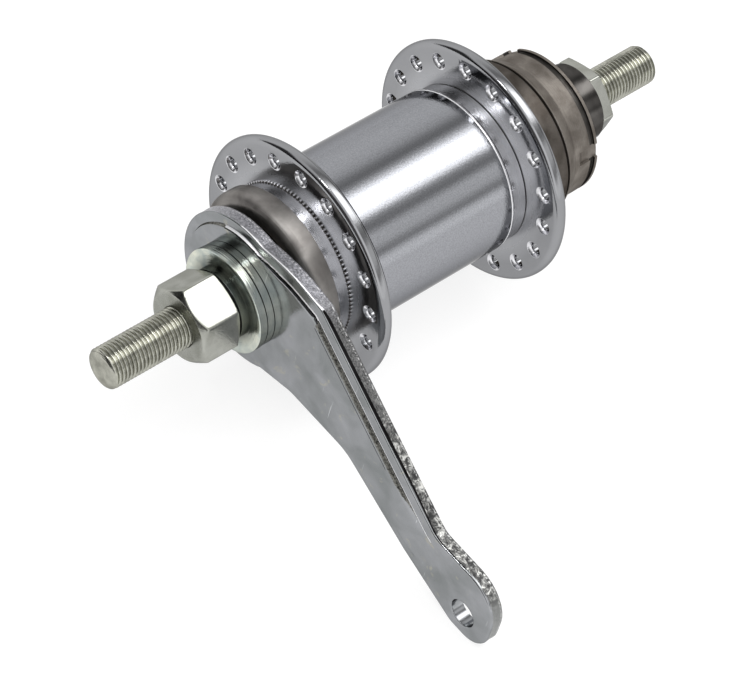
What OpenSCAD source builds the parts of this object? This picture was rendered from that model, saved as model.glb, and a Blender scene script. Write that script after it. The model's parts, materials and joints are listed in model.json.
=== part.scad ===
// Coaster brake hub: a rear hub with a back-pedal brake and an arm that holds the brake still.
// The axle lies along Y through the origin, with the origin midway between the two flanges.
// The brake arm is at the -Y end, the driver that carries the sprocket at the +Y end.

/* [Axle] */
// Outside diameter of the axle's thread
axle_d = 9.5; // [9:0.1:10]
// Length of the axle from end to end
axle_length = 158; // [150:1:175]
// Chamfer on each end of the axle
axle_chamfer = 0.8; // [0.3:0.1:1.2]

/* [Flanges] */
// Outside diameter of each spoke flange
flange_d = 58; // [56:0.5:62]
// Thickness of each flange
flange_t = 3.2; // [2.8:0.1:3.6]
// Distance between the middles of the two flanges
flange_spacing = 50.7; // [48:0.1:55]
// Rounding of the flange's rim
flange_edge_r = 1.37; // [0.5:0.01:1.39]
// Spoke holes in each flange
spoke_count = 18; // [14:1:20]
// Diameter of the circle on which the spoke holes lie
spoke_pcd = 49.3; // [47:0.1:51]
// Diameter of one spoke hole
spoke_hole_d = 2.7; // [2.4:0.1:3]
// Diameter of the countersink at each mouth of a spoke hole
countersink_d = 4.2; // [3.4:0.1:4.6]
// Direction of the first spoke hole in the brake-side flange, in degrees
first_spoke_angle = 18.1; // [0:0.1:20]

/* [Hub shell] */
// Bore that the brake shoes press against
drum_d = 33.2; // [33:0.1:33.6]
// Wall of the barrel round the drum
barrel_wall = 3.1; // [2.8:0.1:3.6]
// Wall of the thin stub outside each bearing cup's sleeve
stub_wall = 1.6; // [1.4:0.1:1.9]
// Width of the plated band between the brake-side flange and its bearing cup
band_w = 3.5; // [2.5:0.1:5]
// Width of the lower collar beside the drive-side flange
collar_w = 3.6; // [2.5:0.1:5]
// Step by which the collar stands over the flange seat
collar_step = 0.3; // [0.2:0.05:0.45]

/* [Bearing cups] */
// Step by which a cup's sleeve is wider than the drum
sleeve_step = 0.6; // [0.5:0.05:0.8]
// Wall of the drive-side cup's sleeve
sleeve_wall = 1.4; // [1.2:0.05:1.6]
// Length of a cup's sleeve inside the barrel
sleeve_length = 4.45; // [4:0.05:4.9]
// Outside diameter of the brake-side cup
brake_cup_d = 40; // [39.4:0.1:41]
// Width of the brake-side cup outside the barrel
brake_cup_w = 6.1; // [5.8:0.1:7]
// Rounding of the brake-side cup's front edge
brake_cup_round = 4.9; // [3:0.1:5]
// Wall of the drive-side cup outside its balls
drive_cup_wall = 1.75; // [1.4:0.05:2]
// Width of the drive-side cup outside the barrel
drive_cup_w = 9.7; // [9.4:0.1:11]

/* [Bearing balls] */
// Diameter of a brake-side ball
brake_ball_d = 4.76; // [4.4:0.01:5]
// Balls on the brake side
brake_ball_count = 12; // [9:1:13]
// Diameter of the circle of the brake-side balls
brake_ball_pcd = 26.6; // [26.2:0.1:27]
// Diameter of a drive-side ball
drive_ball_d = 6.35; // [6:0.01:6.6]
// Balls on the drive side
drive_ball_count = 10; // [8:1:11]
// Diameter of the circle of the drive-side balls
drive_ball_pcd = 28.4; // [28:0.1:28.8]
// Diameter of a ball on the right cone
cone_ball_d = 6.35; // [6:0.01:6.5]
// Balls on the right cone
cone_ball_count = 7; // [6:1:8]
// Diameter of the circle of the right cone's balls
cone_ball_pcd = 21.2; // [20.9:0.1:21.6]

/* [Brake] */
// Length of the brake cone's taper
expander_length = 9; // [8:0.1:10]
// Rise of the brake cone's taper for each millimetre of length
expander_slope = 0.3; // [0.25:0.01:0.34]
// Width of the two keys that stop the shoes from turning
key_w = 3.4; // [2.4:0.1:4]
// Outward travel of a brake shoe
shoe_lift = 0.3; // [0.2:0.05:0.32]
// Gap between a shoe and the drum with the brake off
shoe_gap = 0.4; // [0.38:0.01:0.5]
// Width of the thin middle of a shoe where it clears the drag spring
shoe_wall = 3; // [2.6:0.1:3.1]
// Width of the drag spring
drag_spring_w = 3; // [2:0.1:4]
// Thickness of the drag spring
drag_spring_t = 0.95; // [0.7:0.05:1]
// Advance of the driver's screw in one turn
screw_lead = 30; // [26:1:34]
// Starts of the driver's screw
screw_starts = 6; // [4:1:7]
// Radius of the driver's screw over its crests
screw_crest_r = 9.8; // [9.5:0.1:10]
// Radius of the driver's screw at its roots
screw_root_r = 8.4; // [8:0.1:8.6]
// Turn of the driver that puts the brake on, in degrees
brake_turn = 30; // [20:1:34]

/* [Driver] */
// Diameter of the seat that carries the sprocket
sprocket_seat_d = 34.7; // [34.4:0.1:35.2]
// Width of the sprocket seat
sprocket_seat_w = 4.5; // [4:0.1:5.5]
// Step from the drive-side cup down to the driver's rim
driver_rim_step = 0.085; // [0:0.005:0.4]
// Width of the taper from the rim to the sprocket seat
driver_taper_w = 3.4; // [2.5:0.1:5]
// Width of the groove for the sprocket's snap ring
snap_groove_w = 1; // [0.8:0.1:1.4]
// Depth of the groove for the sprocket's snap ring
snap_groove_depth = 1.35; // [1:0.05:1.5]
// Width of the lip outside the groove
lip_w = 1.3; // [1:0.1:2]
// Notches for the sprocket's lugs
notch_count = 3; // [3:1:9]
// Width of one notch
notch_w = 2.9; // [2:0.1:4]
// Depth of one notch
notch_depth = 1.45; // [1:0.05:1.5]
// Direction of the first notch, in degrees
first_notch_angle = 20.4; // [0:0.1:120]

/* [Right cone] */
// Outside diameter of the right cone
right_cone_d = 19; // [18.4:0.1:19.4]
// Length of the right cone outside the driver
right_cone_reach = 9.6; // [8:0.1:14]

/* [Locknuts and washers] */
// Size across flats of both locknuts
locknut_af = 17; // [16:0.5:19]
// Height of the brake-side locknut's hexagon
tall_nut_h = 9.9; // [7:0.1:12]
// Height of the drive-side locknut
thin_nut_h = 3.2; // [2.8:0.1:5]
// Diameter of the brake-side locknut's round neck
nut_neck_d = 16.6; // [16:0.1:17.2]
// Length of the brake-side locknut's neck in front of the washer's rim
nut_neck_h = 2.3; // [1.5:0.1:4]
// Direction of a corner of the brake-side locknut, in degrees
tall_nut_angle = 40.6; // [0:0.1:60]
// Direction of a corner of the drive-side locknut, in degrees
thin_nut_angle = 17.2; // [0:0.1:60]
// Diameter of the dished washer
dished_washer_d = 24.6; // [22:0.1:26]
// Thickness of the dished washer at its rim
dished_washer_t = 1.7; // [1.2:0.1:2.4]
// Depth of the dished washer's hollow
dish_depth = 0.45; // [0.2:0.05:0.8]
// Diameter of the flat washer
flat_washer_d = 24.4; // [22:0.1:26]
// Thickness of the flat washer
flat_washer_t = 2.4; // [1.5:0.1:3]

/* [Brake arm] */
// Thickness of the arm's plate
arm_t = 3.2; // [2.6:0.1:4]
// Radius of the arm's round head
arm_head_r = 18.7; // [18:0.1:20]
// Height of the panel pressed up from the arm
panel_rise = 0.6; // [0.3:0.05:0.9]
// Width of the flat margin round the panel
panel_margin = 2.45; // [1.8:0.05:3]
// Diameter of the hole for the arm's strap bolt
strap_hole_d = 6.6; // [5.5:0.1:7]
// Gap between the arm and the brake-side bearing cup
arm_gap = 2; // [1.5:0.1:3]

/* [Hidden] */
$fn = 96;

// Length by which a cut runs past the face it opens
cut = 1;

// Clearances
race_clearance = 0.06;
pocket_clearance = 0.12;
cage_clearance = 0.4;
cover_clearance = 0.3;
washer_clearance = 0.15;
axle_clearance = 0.55;
nut_mouth_clearance = 0.3;
screw_clearance = 0.25;
spring_clearance = 0.05;
spring_bore_clearance = 0.2;
clutch_clearance = 0.2;
key_clearance = 0.3;
tab_clearance = 0.8;

// Radii of the axle, barrel and flanges; the shank and the threads inside nuts and cones are thinner
axle_r = axle_d / 2;
thread_half_depth = 0.2;
shank_r = axle_r - thread_half_depth;
drum_r = drum_d / 2;
barrel_r = drum_r + barrel_wall;
sleeve_r = drum_r + sleeve_step;
stub_r = sleeve_r + stub_wall;
collar_r = stub_r + collar_step;

// Stations along Y of the flanges and the barrel's ends
brake_flange_y = -flange_spacing / 2;
drive_flange_y = flange_spacing / 2;
barrel_start_y = brake_flange_y - flange_t / 2 - band_w;
brake_shoulder_y = brake_flange_y + flange_t / 2;
drive_shoulder_y = drive_flange_y - flange_t / 2;
barrel_end_y = drive_flange_y + flange_t / 2;
collar_y = drive_shoulder_y - collar_w;
collar_bevel = barrel_r - collar_r;

// Bearings: radius of the balls, radius of their circle, and their station
brake_ball_r = brake_ball_d / 2;
brake_pitch_r = brake_ball_pcd / 2;
brake_ball_reach = 1.55;
brake_ball_y = barrel_start_y - brake_ball_reach;
drive_ball_r = drive_ball_d / 2;
drive_pitch_r = drive_ball_pcd / 2;
drive_ball_reach = 5.55;
drive_ball_y = barrel_end_y + drive_ball_reach;
cone_ball_r = cone_ball_d / 2;
cone_pitch_r = cone_ball_pcd / 2;

// A race wraps a ball from straight above or below to this many degrees to one side
race_wrap = 60;

// Ball cages: how far each reaches past its balls, and the share of a ball that stands clear of it
cage_reach = 0.8;
cage_step = 0.15;
cage_share = 0.45;

// Bearing cups
brake_cup_r = brake_cup_d / 2;
brake_cup_front_y = barrel_start_y - brake_cup_w;
brake_cup_foot = 0.55;
drive_cup_r = drive_pitch_r + drive_ball_r + race_clearance + drive_cup_wall;
drive_cup_bore_r = sleeve_r - sleeve_wall;
drive_cup_front_y = barrel_end_y + drive_cup_w;

// Driver: its stations from the bearing cup outward
driver_gap = 0.6;
driver_rim_y = drive_cup_front_y + driver_gap;
seat_start_y = driver_rim_y + driver_taper_w;
groove_start_y = seat_start_y + sprocket_seat_w;
lip_start_y = groove_start_y + snap_groove_w;
driver_end_y = lip_start_y + lip_w;
seat_r = sprocket_seat_d / 2;
notch_overrun = 0.4;
notch_y = seat_start_y - notch_overrun;
driver_rim_r = drive_cup_r - driver_rim_step;
driver_bore_r = axle_r + axle_clearance;
dust_cap_t = 0.75;
dust_cap_y = driver_end_y - dust_cap_t;
dust_cap_step = 1.02;
dust_cap_r = cone_pitch_r + cone_ball_r + dust_cap_step;
cone_ball_y = dust_cap_y - cone_ball_r - cover_clearance;
labyrinth_y = drive_ball_y + drive_ball_r + cover_clearance;
labyrinth_r = drive_pitch_r + drive_ball_r - cover_clearance;

// Right cone and drive-side locknut
right_cone_r = right_cone_d / 2;
right_cone_end_y = driver_end_y + right_cone_reach;
thin_nut_end_y = right_cone_end_y + thin_nut_h;

// Brake arm and what is stacked outside it
arm_back_y = brake_cup_front_y - arm_gap;
arm_front_y = arm_back_y - arm_t;
panel_y = arm_front_y - panel_rise;
flat_washer_y = panel_y - flat_washer_t;
dished_washer_y = flat_washer_y - dished_washer_t;
dish_floor_y = dished_washer_y + dish_depth;
tall_nut_back_y = dished_washer_y - nut_neck_h;
tall_nut_front_y = tall_nut_back_y - tall_nut_h;
nut_neck_r = nut_neck_d / 2;
dish_foot_gap = 0.45;
dish_foot_r = nut_neck_r + dish_foot_gap;

// Brake cone: boss in the arm, shoulder behind it, ball race, and the taper that spreads the shoes
boss_r = 9.5;
boss_flat = 7.5;
cone_shoulder_r = 13;
shield_t = 0.8;
shield_inset = 0.35;
shield_y = brake_cup_front_y + shield_inset;
shield_seat_r = brake_pitch_r - (brake_ball_r + race_clearance) * cos(race_wrap);
expander_step = 0.32;
expander_r = brake_pitch_r - brake_ball_r - expander_step;
expander_lead = 0.65;
expander_y = brake_flange_y - expander_lead;
expander_end_y = expander_y + expander_length;
expander_tip_r = expander_r - expander_slope * expander_length;

// Clutch cone: its drive taper matches the one in the barrel, its brake taper spreads the shoes
drive_taper_inset = 8.35;
drive_taper_end_y = drive_flange_y - drive_taper_inset;
drive_taper_length = 11;
drive_taper_y = drive_taper_end_y - drive_taper_length;
drive_taper_lead_in = 1;
drive_taper_step = 0.6;
drive_taper_r = drum_r - drive_taper_step;
drive_taper_fall = 2.4;
drive_taper_tip_r = drive_taper_r - drive_taper_fall;
clutch_r = drive_taper_r - clutch_clearance;
clutch_tip_r = drive_taper_tip_r - clutch_clearance;
clutch_nose_wall = 1.95;
clutch_nose_r = screw_crest_r + screw_clearance + clutch_nose_wall;
clutch_land_w = 4.2;
brake_taper_slope = 0.433;
brake_taper_end_y = drive_taper_y - clutch_land_w;
brake_taper_y = brake_taper_end_y - (clutch_r - clutch_nose_r) / brake_taper_slope;
clutch_nose_length = 6.5;
clutch_nose_y = brake_taper_y - clutch_nose_length;
clutch_travel = screw_lead * brake_turn / 360;

// Drag spring: rides on the clutch's nose, its two tabs in the gaps between the shoes
spring_r = clutch_nose_r + spring_clearance;
spring_inset = 1;
spring_y = clutch_nose_y + spring_inset;
spring_tab_gap = 1.4;
spring_tab_r = drum_r - spring_tab_gap;
spring_split = 14;

// Brake shoes: both tapers clear their cones while the shoes move out along the brake cone
shoe_r = drum_r - shoe_gap;
shoe_inset = 1;
shoe_y = expander_y + shoe_inset;
shoe_travel_y = shoe_lift / expander_slope;
shoe_end_inset = 2.78;
shoe_end_y = brake_taper_end_y - shoe_end_inset;
shoe_cone_clearance = shoe_lift;
shoe_spare = 0.05;
shoe_clutch_clearance = (clutch_travel - shoe_travel_y) * brake_taper_slope + shoe_spare;
shoe_bore_r = max(shoe_r - shoe_wall, spring_r + drag_spring_t + spring_bore_clearance);
shoe_web_inset = 0.5;
shoe_web_end_y = expander_end_y - shoe_web_inset;
shoe_gap_half = key_w / 2 + key_clearance;

// Driver's screw
screw_inset = 9.5;
screw_start_y = clutch_nose_y + screw_inset;
screw_reach = 5;
screw_end_y = drive_taper_end_y + screw_reach;
screw_thread_share = 0.36;
screw_flank_share = 0.13;
screw_step = 12;
// Length of the screw buried in the driver's neck
screw_overlap = 0.7;
driver_neck_step = 0.4;
driver_neck_r = drive_pitch_r - drive_ball_r - driver_neck_step;

// Brake arm's outline in X and Z, each corner with its rounding, from the head to the tip and back
arm_corners = [
    [0, 0, 0], [3, 18.5, 0], [12, 19.9, 30], [22.4, 18.6, 3], [66.9, -10.3, 6], [87, -10.3, 9],
    [87, -29, 6], [76.9, -29, 5], [60, -22.9, 20], [38.4, -13.1, 12], [20, -13.1, 10], [10.4, -15.5, 0]
];
strap_hole_x = 79.2;
strap_hole_z = -23.2;
panel_ramp_x = 54;
panel_end_x = 66;

function unit(v) = v / norm(v);
function turn_between(a, b) = let (d = b - a) d > 180 ? d - 360 : d < -180 ? d + 360 : d;

// Points of the rounded corner at b, coming from a and going on to c
function corner_points(a, b, c, r) =
    r == 0 ? [b] :
    let (
        u = unit(a - b),
        v = unit(c - b),
        half = acos(u * v) / 2,
        reach = r / tan(half),
        middle = b + unit(u + v) * r / sin(half),
        from = b + u * reach - middle,
        to = b + v * reach - middle,
        start = atan2(from[1], from[0]),
        sweep = turn_between(start, atan2(to[1], to[0])),
        steps = max(2, ceil(abs(sweep) / 7.5))
    )
    [for (i = [0:steps]) middle + r * [cos(start + sweep * i / steps), sin(start + sweep * i / steps)]];

function point_of(corner) = [corner[0], corner[1]];

function rounded_outline(corners) = [
    for (i = [0:len(corners) - 1])
        each corner_points(
            point_of(corners[(i + len(corners) - 1) % len(corners)]),
            point_of(corners[i]),
            point_of(corners[(i + 1) % len(corners)]),
            corners[i][2])
];

// A ring or solid turned about the axle line, from [radius, y] points
module turned(points) {
    rotate([-90, 0, 0]) rotate_extrude() polygon(points);
}

module disc(r, y_from, y_to) {
    translate([0, y_from, 0]) rotate([-90, 0, 0]) cylinder(r = r, h = y_to - y_from);
}

module tube(r_out, r_in, y_from, y_to) {
    difference() {
        disc(r_out, y_from, y_to);
        disc(r_in, y_from - cut, y_to + cut);
    }
}

// The groove that a circle of balls rolls in
module race_groove(pitch_r, y, r) {
    rotate([-90, 0, 0]) rotate_extrude() translate([pitch_r, y]) circle(r = r);
}

// Children repeated round the axle line, the first at the given direction from +X towards +Z
module around(count, first = 0) {
    for (i = [0:count - 1]) rotate([0, -first - i * 360 / count, 0]) children();
}

module ball_circle(count, pitch_r, y, r) {
    around(count) translate([pitch_r, y, 0]) sphere(r = r);
}

// A pressed cage ring with a pocket for each ball
module ball_cage(count, pitch_r, y, ball_r, r_in, r_out, y_from, y_to) {
    difference() {
        tube(r_out, r_in, y_from, y_to);
        ball_circle(count, pitch_r, y, ball_r + pocket_clearance);
    }
}

// A flat piece cut from a drawing in X and Z, with its back at y and its front towards -Y
module plate(y, t) {
    translate([0, y, 0]) rotate([90, 0, 0]) linear_extrude(height = t) children();
}

module hex_prism(af, y_from, y_to, angle) {
    rotate([0, -angle, 0]) translate([0, y_from, 0]) rotate([-90, 0, 0])
        cylinder(r = af / 2 / cos(30), h = y_to - y_from, $fn = 6);
}

module axle() {
    half = axle_length / 2;
    color("#a9a795") turned([
        [0, -half], [axle_r - axle_chamfer, -half], [axle_r, -half + axle_chamfer],
        [axle_r, tall_nut_front_y], [shank_r, tall_nut_front_y], [shank_r, thin_nut_end_y],
        [axle_r, thin_nut_end_y], [axle_r, half - axle_chamfer], [axle_r - axle_chamfer, half], [0, half]
    ]);
}

module arm_outline() {
    circle(r = arm_head_r);
    polygon(rounded_outline(arm_corners));
}

// The round boss on the brake cone, flattened above and below so that the arm can't turn on it
module arm_boss(y_from, y_to) {
    intersection() {
        disc(boss_r, y_from, y_to);
        translate([-boss_r, y_from, -boss_flat]) cube([2 * boss_r, y_to - y_from, 2 * boss_flat]);
    }
}

module brake_arm() {
    color("#b4b8bd") difference() {
        union() {
            plate(arm_back_y, arm_t) arm_outline();
            intersection() {
                plate(arm_front_y, panel_rise) offset(delta = -panel_margin) arm_outline();
                translate([0, 0, -arm_head_r * 2]) linear_extrude(height = arm_head_r * 4)
                    polygon([
                        [-arm_head_r, arm_front_y + cut], [-arm_head_r, panel_y], [panel_ramp_x, panel_y],
                        [panel_end_x, arm_front_y], [panel_end_x, arm_front_y + cut]
                    ]);
            }
        }
        arm_boss(panel_y - cut, arm_back_y + cut);
        translate([strap_hole_x, 0, strap_hole_z]) disc(strap_hole_d / 2, panel_y - cut, arm_back_y + cut);
    }
}

// The chamfered mouth of a locknut's bore at y; side is -1 where the mouth faces -Y, 1 where it faces +Y
module nut_mouth(y, side) {
    mouth_r = axle_r + nut_mouth_clearance;
    turned([
        [0, y + side * cut], [mouth_r, y + side * cut], [mouth_r, y],
        [shank_r, y - side * (mouth_r - shank_r)], [0, y - side * (mouth_r - shank_r)]
    ]);
}

module locknut_brake_side() {
    chamfer = 1.5;
    back_chamfer = 0.5;
    land = 0.35;
    corner_r = locknut_af / 2 / cos(30);
    flat_r = locknut_af / 2;
    color("#aaa9a0") difference() {
        union() {
            intersection() {
                hex_prism(locknut_af, tall_nut_front_y, tall_nut_back_y, tall_nut_angle);
                turned([
                    [0, tall_nut_front_y], [flat_r - land, tall_nut_front_y],
                    [corner_r, tall_nut_front_y + chamfer],
                    [corner_r, tall_nut_back_y - back_chamfer], [flat_r, tall_nut_back_y], [0, tall_nut_back_y]
                ]);
            }
            disc(nut_neck_r, tall_nut_back_y, dish_floor_y);
        }
        disc(shank_r, tall_nut_front_y - cut, dish_floor_y + cut);
        nut_mouth(tall_nut_front_y, -1);
    }
}

module dished_washer() {
    rim_w = 0.6;
    bore_r = axle_r + washer_clearance;
    edge_r = dished_washer_d / 2;
    bevel = 0.3;
    color("#b5b39f") turned([
        [bore_r, dish_floor_y], [dish_foot_r, dish_floor_y], [edge_r - rim_w - bevel, dished_washer_y],
        [edge_r - bevel, dished_washer_y], [edge_r, dished_washer_y + bevel], [edge_r, flat_washer_y],
        [bore_r, flat_washer_y]
    ]);
}

module flat_washer() {
    bore_r = axle_r + washer_clearance;
    edge_r = flat_washer_d / 2;
    bevel = 0.25;
    color("#a6a595") turned([
        [bore_r, flat_washer_y], [edge_r - bevel, flat_washer_y], [edge_r, flat_washer_y + bevel],
        [edge_r, panel_y - bevel], [edge_r - bevel, panel_y], [bore_r, panel_y]
    ]);
}

module brake_cone() {
    color("#7d7a75") difference() {
        union() {
            arm_boss(panel_y, arm_back_y);
            turned([
                [0, arm_back_y], [cone_shoulder_r, arm_back_y], [cone_shoulder_r, shield_y],
                [shield_seat_r, shield_y], [shield_seat_r, brake_ball_y], [expander_r, brake_ball_y],
                [expander_r, expander_y], [expander_tip_r, expander_end_y], [0, expander_end_y]
            ]);
            intersection() {
                disc(expander_r, expander_y, expander_end_y);
                translate([-expander_r, expander_y, -key_w / 2])
                    cube([2 * expander_r, expander_length, key_w]);
            }
        }
        race_groove(brake_pitch_r, brake_ball_y, brake_ball_r + race_clearance);
        disc(shank_r, panel_y - cut, expander_end_y + cut);
    }
}

module dust_shield() {
    mouth_r = brake_pitch_r + brake_ball_r + race_clearance;
    color("#57534e") tube(mouth_r - cover_clearance, shield_seat_r, shield_y, shield_y + shield_t);
}

module right_cone() {
    groove_r = cone_ball_r + race_clearance;
    shoulder_y = cone_ball_y + groove_r * sin(race_wrap);
    shoulder_r = cone_pitch_r - groove_r * cos(race_wrap);
    nose_step = 0.15;
    nose_length = 2.4;
    nose_r = cone_pitch_r - groove_r - nose_step;
    nose_y = cone_ball_y - nose_length;
    color("#4a4745") difference() {
        turned([
            [0, nose_y], [nose_r, nose_y], [nose_r, cone_ball_y], [shoulder_r, cone_ball_y],
            [shoulder_r, shoulder_y], [right_cone_r, shoulder_y + right_cone_r - shoulder_r],
            [right_cone_r, right_cone_end_y], [0, right_cone_end_y]
        ]);
        race_groove(cone_pitch_r, cone_ball_y, groove_r);
        disc(shank_r, nose_y - cut, right_cone_end_y + cut);
    }
}

module locknut_drive_side() {
    corner_r = locknut_af / 2 / cos(30);
    flat_r = locknut_af / 2;
    back_land = 0.7;
    back_chamfer = 0.4;
    front_chamfer = 0.7;
    color("#aead9f") difference() {
        intersection() {
            hex_prism(locknut_af, right_cone_end_y, thin_nut_end_y, thin_nut_angle);
            turned([
                [0, right_cone_end_y], [flat_r + back_land, right_cone_end_y],
                [corner_r, right_cone_end_y + back_chamfer], [corner_r, thin_nut_end_y - front_chamfer],
                [flat_r, thin_nut_end_y], [0, thin_nut_end_y]
            ]);
        }
        disc(shank_r, right_cone_end_y - cut, thin_nut_end_y + cut);
        nut_mouth(thin_nut_end_y, 1);
    }
}

module hub_barrel() {
    color("#b9bdc4") turned([
        [sleeve_r, barrel_start_y], [stub_r, barrel_start_y], [stub_r, brake_shoulder_y],
        [barrel_r, brake_shoulder_y], [barrel_r, collar_y - collar_bevel], [collar_r, collar_y],
        [collar_r, drive_shoulder_y], [stub_r, drive_shoulder_y], [stub_r, barrel_end_y],
        [sleeve_r, barrel_end_y], [sleeve_r, barrel_end_y - sleeve_length],
        [drive_taper_tip_r, barrel_end_y - sleeve_length], [drive_taper_tip_r, drive_taper_end_y],
        [drive_taper_r, drive_taper_y], [drum_r, drive_taper_y - drive_taper_lead_in],
        [drum_r, barrel_start_y + sleeve_length], [sleeve_r, barrel_start_y + sleeve_length]
    ]);
}

// A spoke flange about the plane at y, its rim rounded and its holes countersunk from both sides
module flange(y, first_angle) {
    half_t = flange_t / 2;
    sink = (countersink_d - spoke_hole_d) / 2;
    hole_r = spoke_hole_d / 2;
    difference() {
        rotate([-90, 0, 0]) rotate_extrude() {
            translate([stub_r, y - half_t])
                square([flange_d / 2 - flange_edge_r - stub_r, flange_t]);
            translate([stub_r, y - half_t + flange_edge_r])
                square([flange_d / 2 - stub_r, flange_t - 2 * flange_edge_r]);
            for (side = [-1, 1])
                translate([flange_d / 2 - flange_edge_r, y + side * (half_t - flange_edge_r)])
                    circle(r = flange_edge_r);
        }
        around(spoke_count, first_angle) translate([spoke_pcd / 2, y, 0]) {
            disc(hole_r, -half_t - cut, half_t + cut);
            for (side = [-90, 90]) rotate([side, 0, 0]) translate([0, 0, half_t - sink])
                cylinder(r1 = hole_r, r2 = hole_r + sink + cut, h = sink + cut);
        }
    }
}

module flange_brake_side() {
    color("#c3c8d0") flange(brake_flange_y, first_spoke_angle);
}

module flange_drive_side() {
    color("#bcc1c9") flange(drive_flange_y, first_spoke_angle + 180 / spoke_count);
}

module bearing_cup_brake_side() {
    groove_r = brake_ball_r + race_clearance;
    mouth_r = brake_pitch_r + groove_r;
    inner_r = brake_pitch_r + groove_r * cos(race_wrap);
    round_y = brake_cup_front_y + brake_cup_round;
    round_r = brake_cup_r - brake_cup_round;
    color("#6b645c") difference() {
        union() {
            disc(sleeve_r, barrel_start_y, barrel_start_y + sleeve_length);
            turned([[0, round_y], [brake_cup_r, round_y], [brake_cup_r, barrel_start_y - brake_cup_foot],
                [stub_r, barrel_start_y], [0, barrel_start_y]]);
            disc(round_r, brake_cup_front_y, round_y);
            intersection() {
                race_groove(round_r, round_y, brake_cup_round);
                disc(brake_cup_r, brake_cup_front_y, round_y);
            }
        }
        disc(mouth_r, brake_cup_front_y - cut, brake_ball_y);
        race_groove(brake_pitch_r, brake_ball_y, groove_r);
        disc(inner_r, brake_ball_y - brake_ball_r, barrel_start_y + sleeve_length + cut);
    }
}

module bearing_cup_drive_side() {
    groove_r = drive_ball_r + race_clearance;
    mouth_r = drive_pitch_r + groove_r;
    bevel = 0.3;
    color("#6b645c") difference() {
        union() {
            disc(sleeve_r, barrel_end_y - sleeve_length, barrel_end_y);
            turned([[0, barrel_end_y], [drive_cup_r, barrel_end_y], [drive_cup_r, drive_cup_front_y - bevel],
                [drive_cup_r - bevel, drive_cup_front_y], [0, drive_cup_front_y]]);
        }
        disc(mouth_r, drive_ball_y, drive_cup_front_y + cut);
        race_groove(drive_pitch_r, drive_ball_y, groove_r);
        disc(drive_cup_bore_r, barrel_end_y - sleeve_length - cut, drive_ball_y + drive_ball_r);
    }
}

module ball_cage_brake_side() {
    r_out = brake_pitch_r + (brake_ball_r + race_clearance) * cos(race_wrap) - cage_clearance;
    r_in = expander_r + cage_clearance + cage_step;
    color("#8d8a80") ball_cage(brake_ball_count, brake_pitch_r, brake_ball_y, brake_ball_r,
        r_in, r_out, brake_ball_y + brake_ball_r * cage_share, brake_ball_y + brake_ball_r + cage_reach);
}

module balls_brake_side() {
    color("#d5d7da") ball_circle(brake_ball_count, brake_pitch_r, brake_ball_y, brake_ball_r);
}

module ball_cage_drive_side() {
    r_out = drive_cup_bore_r - cage_clearance;
    r_in = driver_neck_r + 2 * cage_clearance;
    color("#8d8a80") ball_cage(drive_ball_count, drive_pitch_r, drive_ball_y, drive_ball_r,
        r_in, r_out, drive_ball_y - drive_ball_r - cage_reach, drive_ball_y - drive_ball_r * cage_share);
}

module balls_drive_side() {
    color("#d5d7da") ball_circle(drive_ball_count, drive_pitch_r, drive_ball_y, drive_ball_r);
}

module ball_cage_right_cone() {
    r_out = cone_pitch_r + (cone_ball_r + race_clearance) * cos(race_wrap) - cage_clearance;
    r_in = cone_pitch_r - cone_ball_r + 2 * cage_clearance;
    color("#8d8a80") ball_cage(cone_ball_count, cone_pitch_r, cone_ball_y, cone_ball_r,
        r_in, r_out, cone_ball_y - cone_ball_r - cage_reach, cone_ball_y - cone_ball_r * cage_share);
}

module balls_right_cone() {
    color("#d5d7da") ball_circle(cone_ball_count, cone_pitch_r, cone_ball_y, cone_ball_r);
}

// Section across the screw, from root to crest to root at each start; grow widens and raises it
function screw_section(grow) = [
    for (i = [0:screw_starts - 1])
        let (
            pitch = 360 / screw_starts,
            middle = i * pitch,
            spread = grow / screw_root_r * 180 / PI,
            crest = pitch * screw_thread_share / 2 + spread,
            foot = crest + pitch * screw_flank_share,
            root_r = screw_root_r + grow,
            crest_r = screw_crest_r + grow
        )
        each [
            root_r * [cos(middle - foot), sin(middle - foot)],
            crest_r * [cos(middle - crest), sin(middle - crest)],
            crest_r * [cos(middle), sin(middle)],
            crest_r * [cos(middle + crest), sin(middle + crest)],
            root_r * [cos(middle + foot), sin(middle + foot)],
            root_r * [cos(middle + pitch / 2), sin(middle + pitch / 2)]
        ]
];

// The multi-start screw between two stations, always in step with itself at Y = 0
module screw(y_from, y_to, grow) {
    turns = (y_to - y_from) / screw_lead;
    translate([0, y_from, 0]) rotate([-90, 0, 0]) rotate([0, 0, 360 * y_from / screw_lead])
        linear_extrude(height = y_to - y_from, twist = -360 * turns,
            slices = ceil(360 * turns / screw_step), segments = len(screw_section(grow)))
            polygon(screw_section(grow));
}

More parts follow.
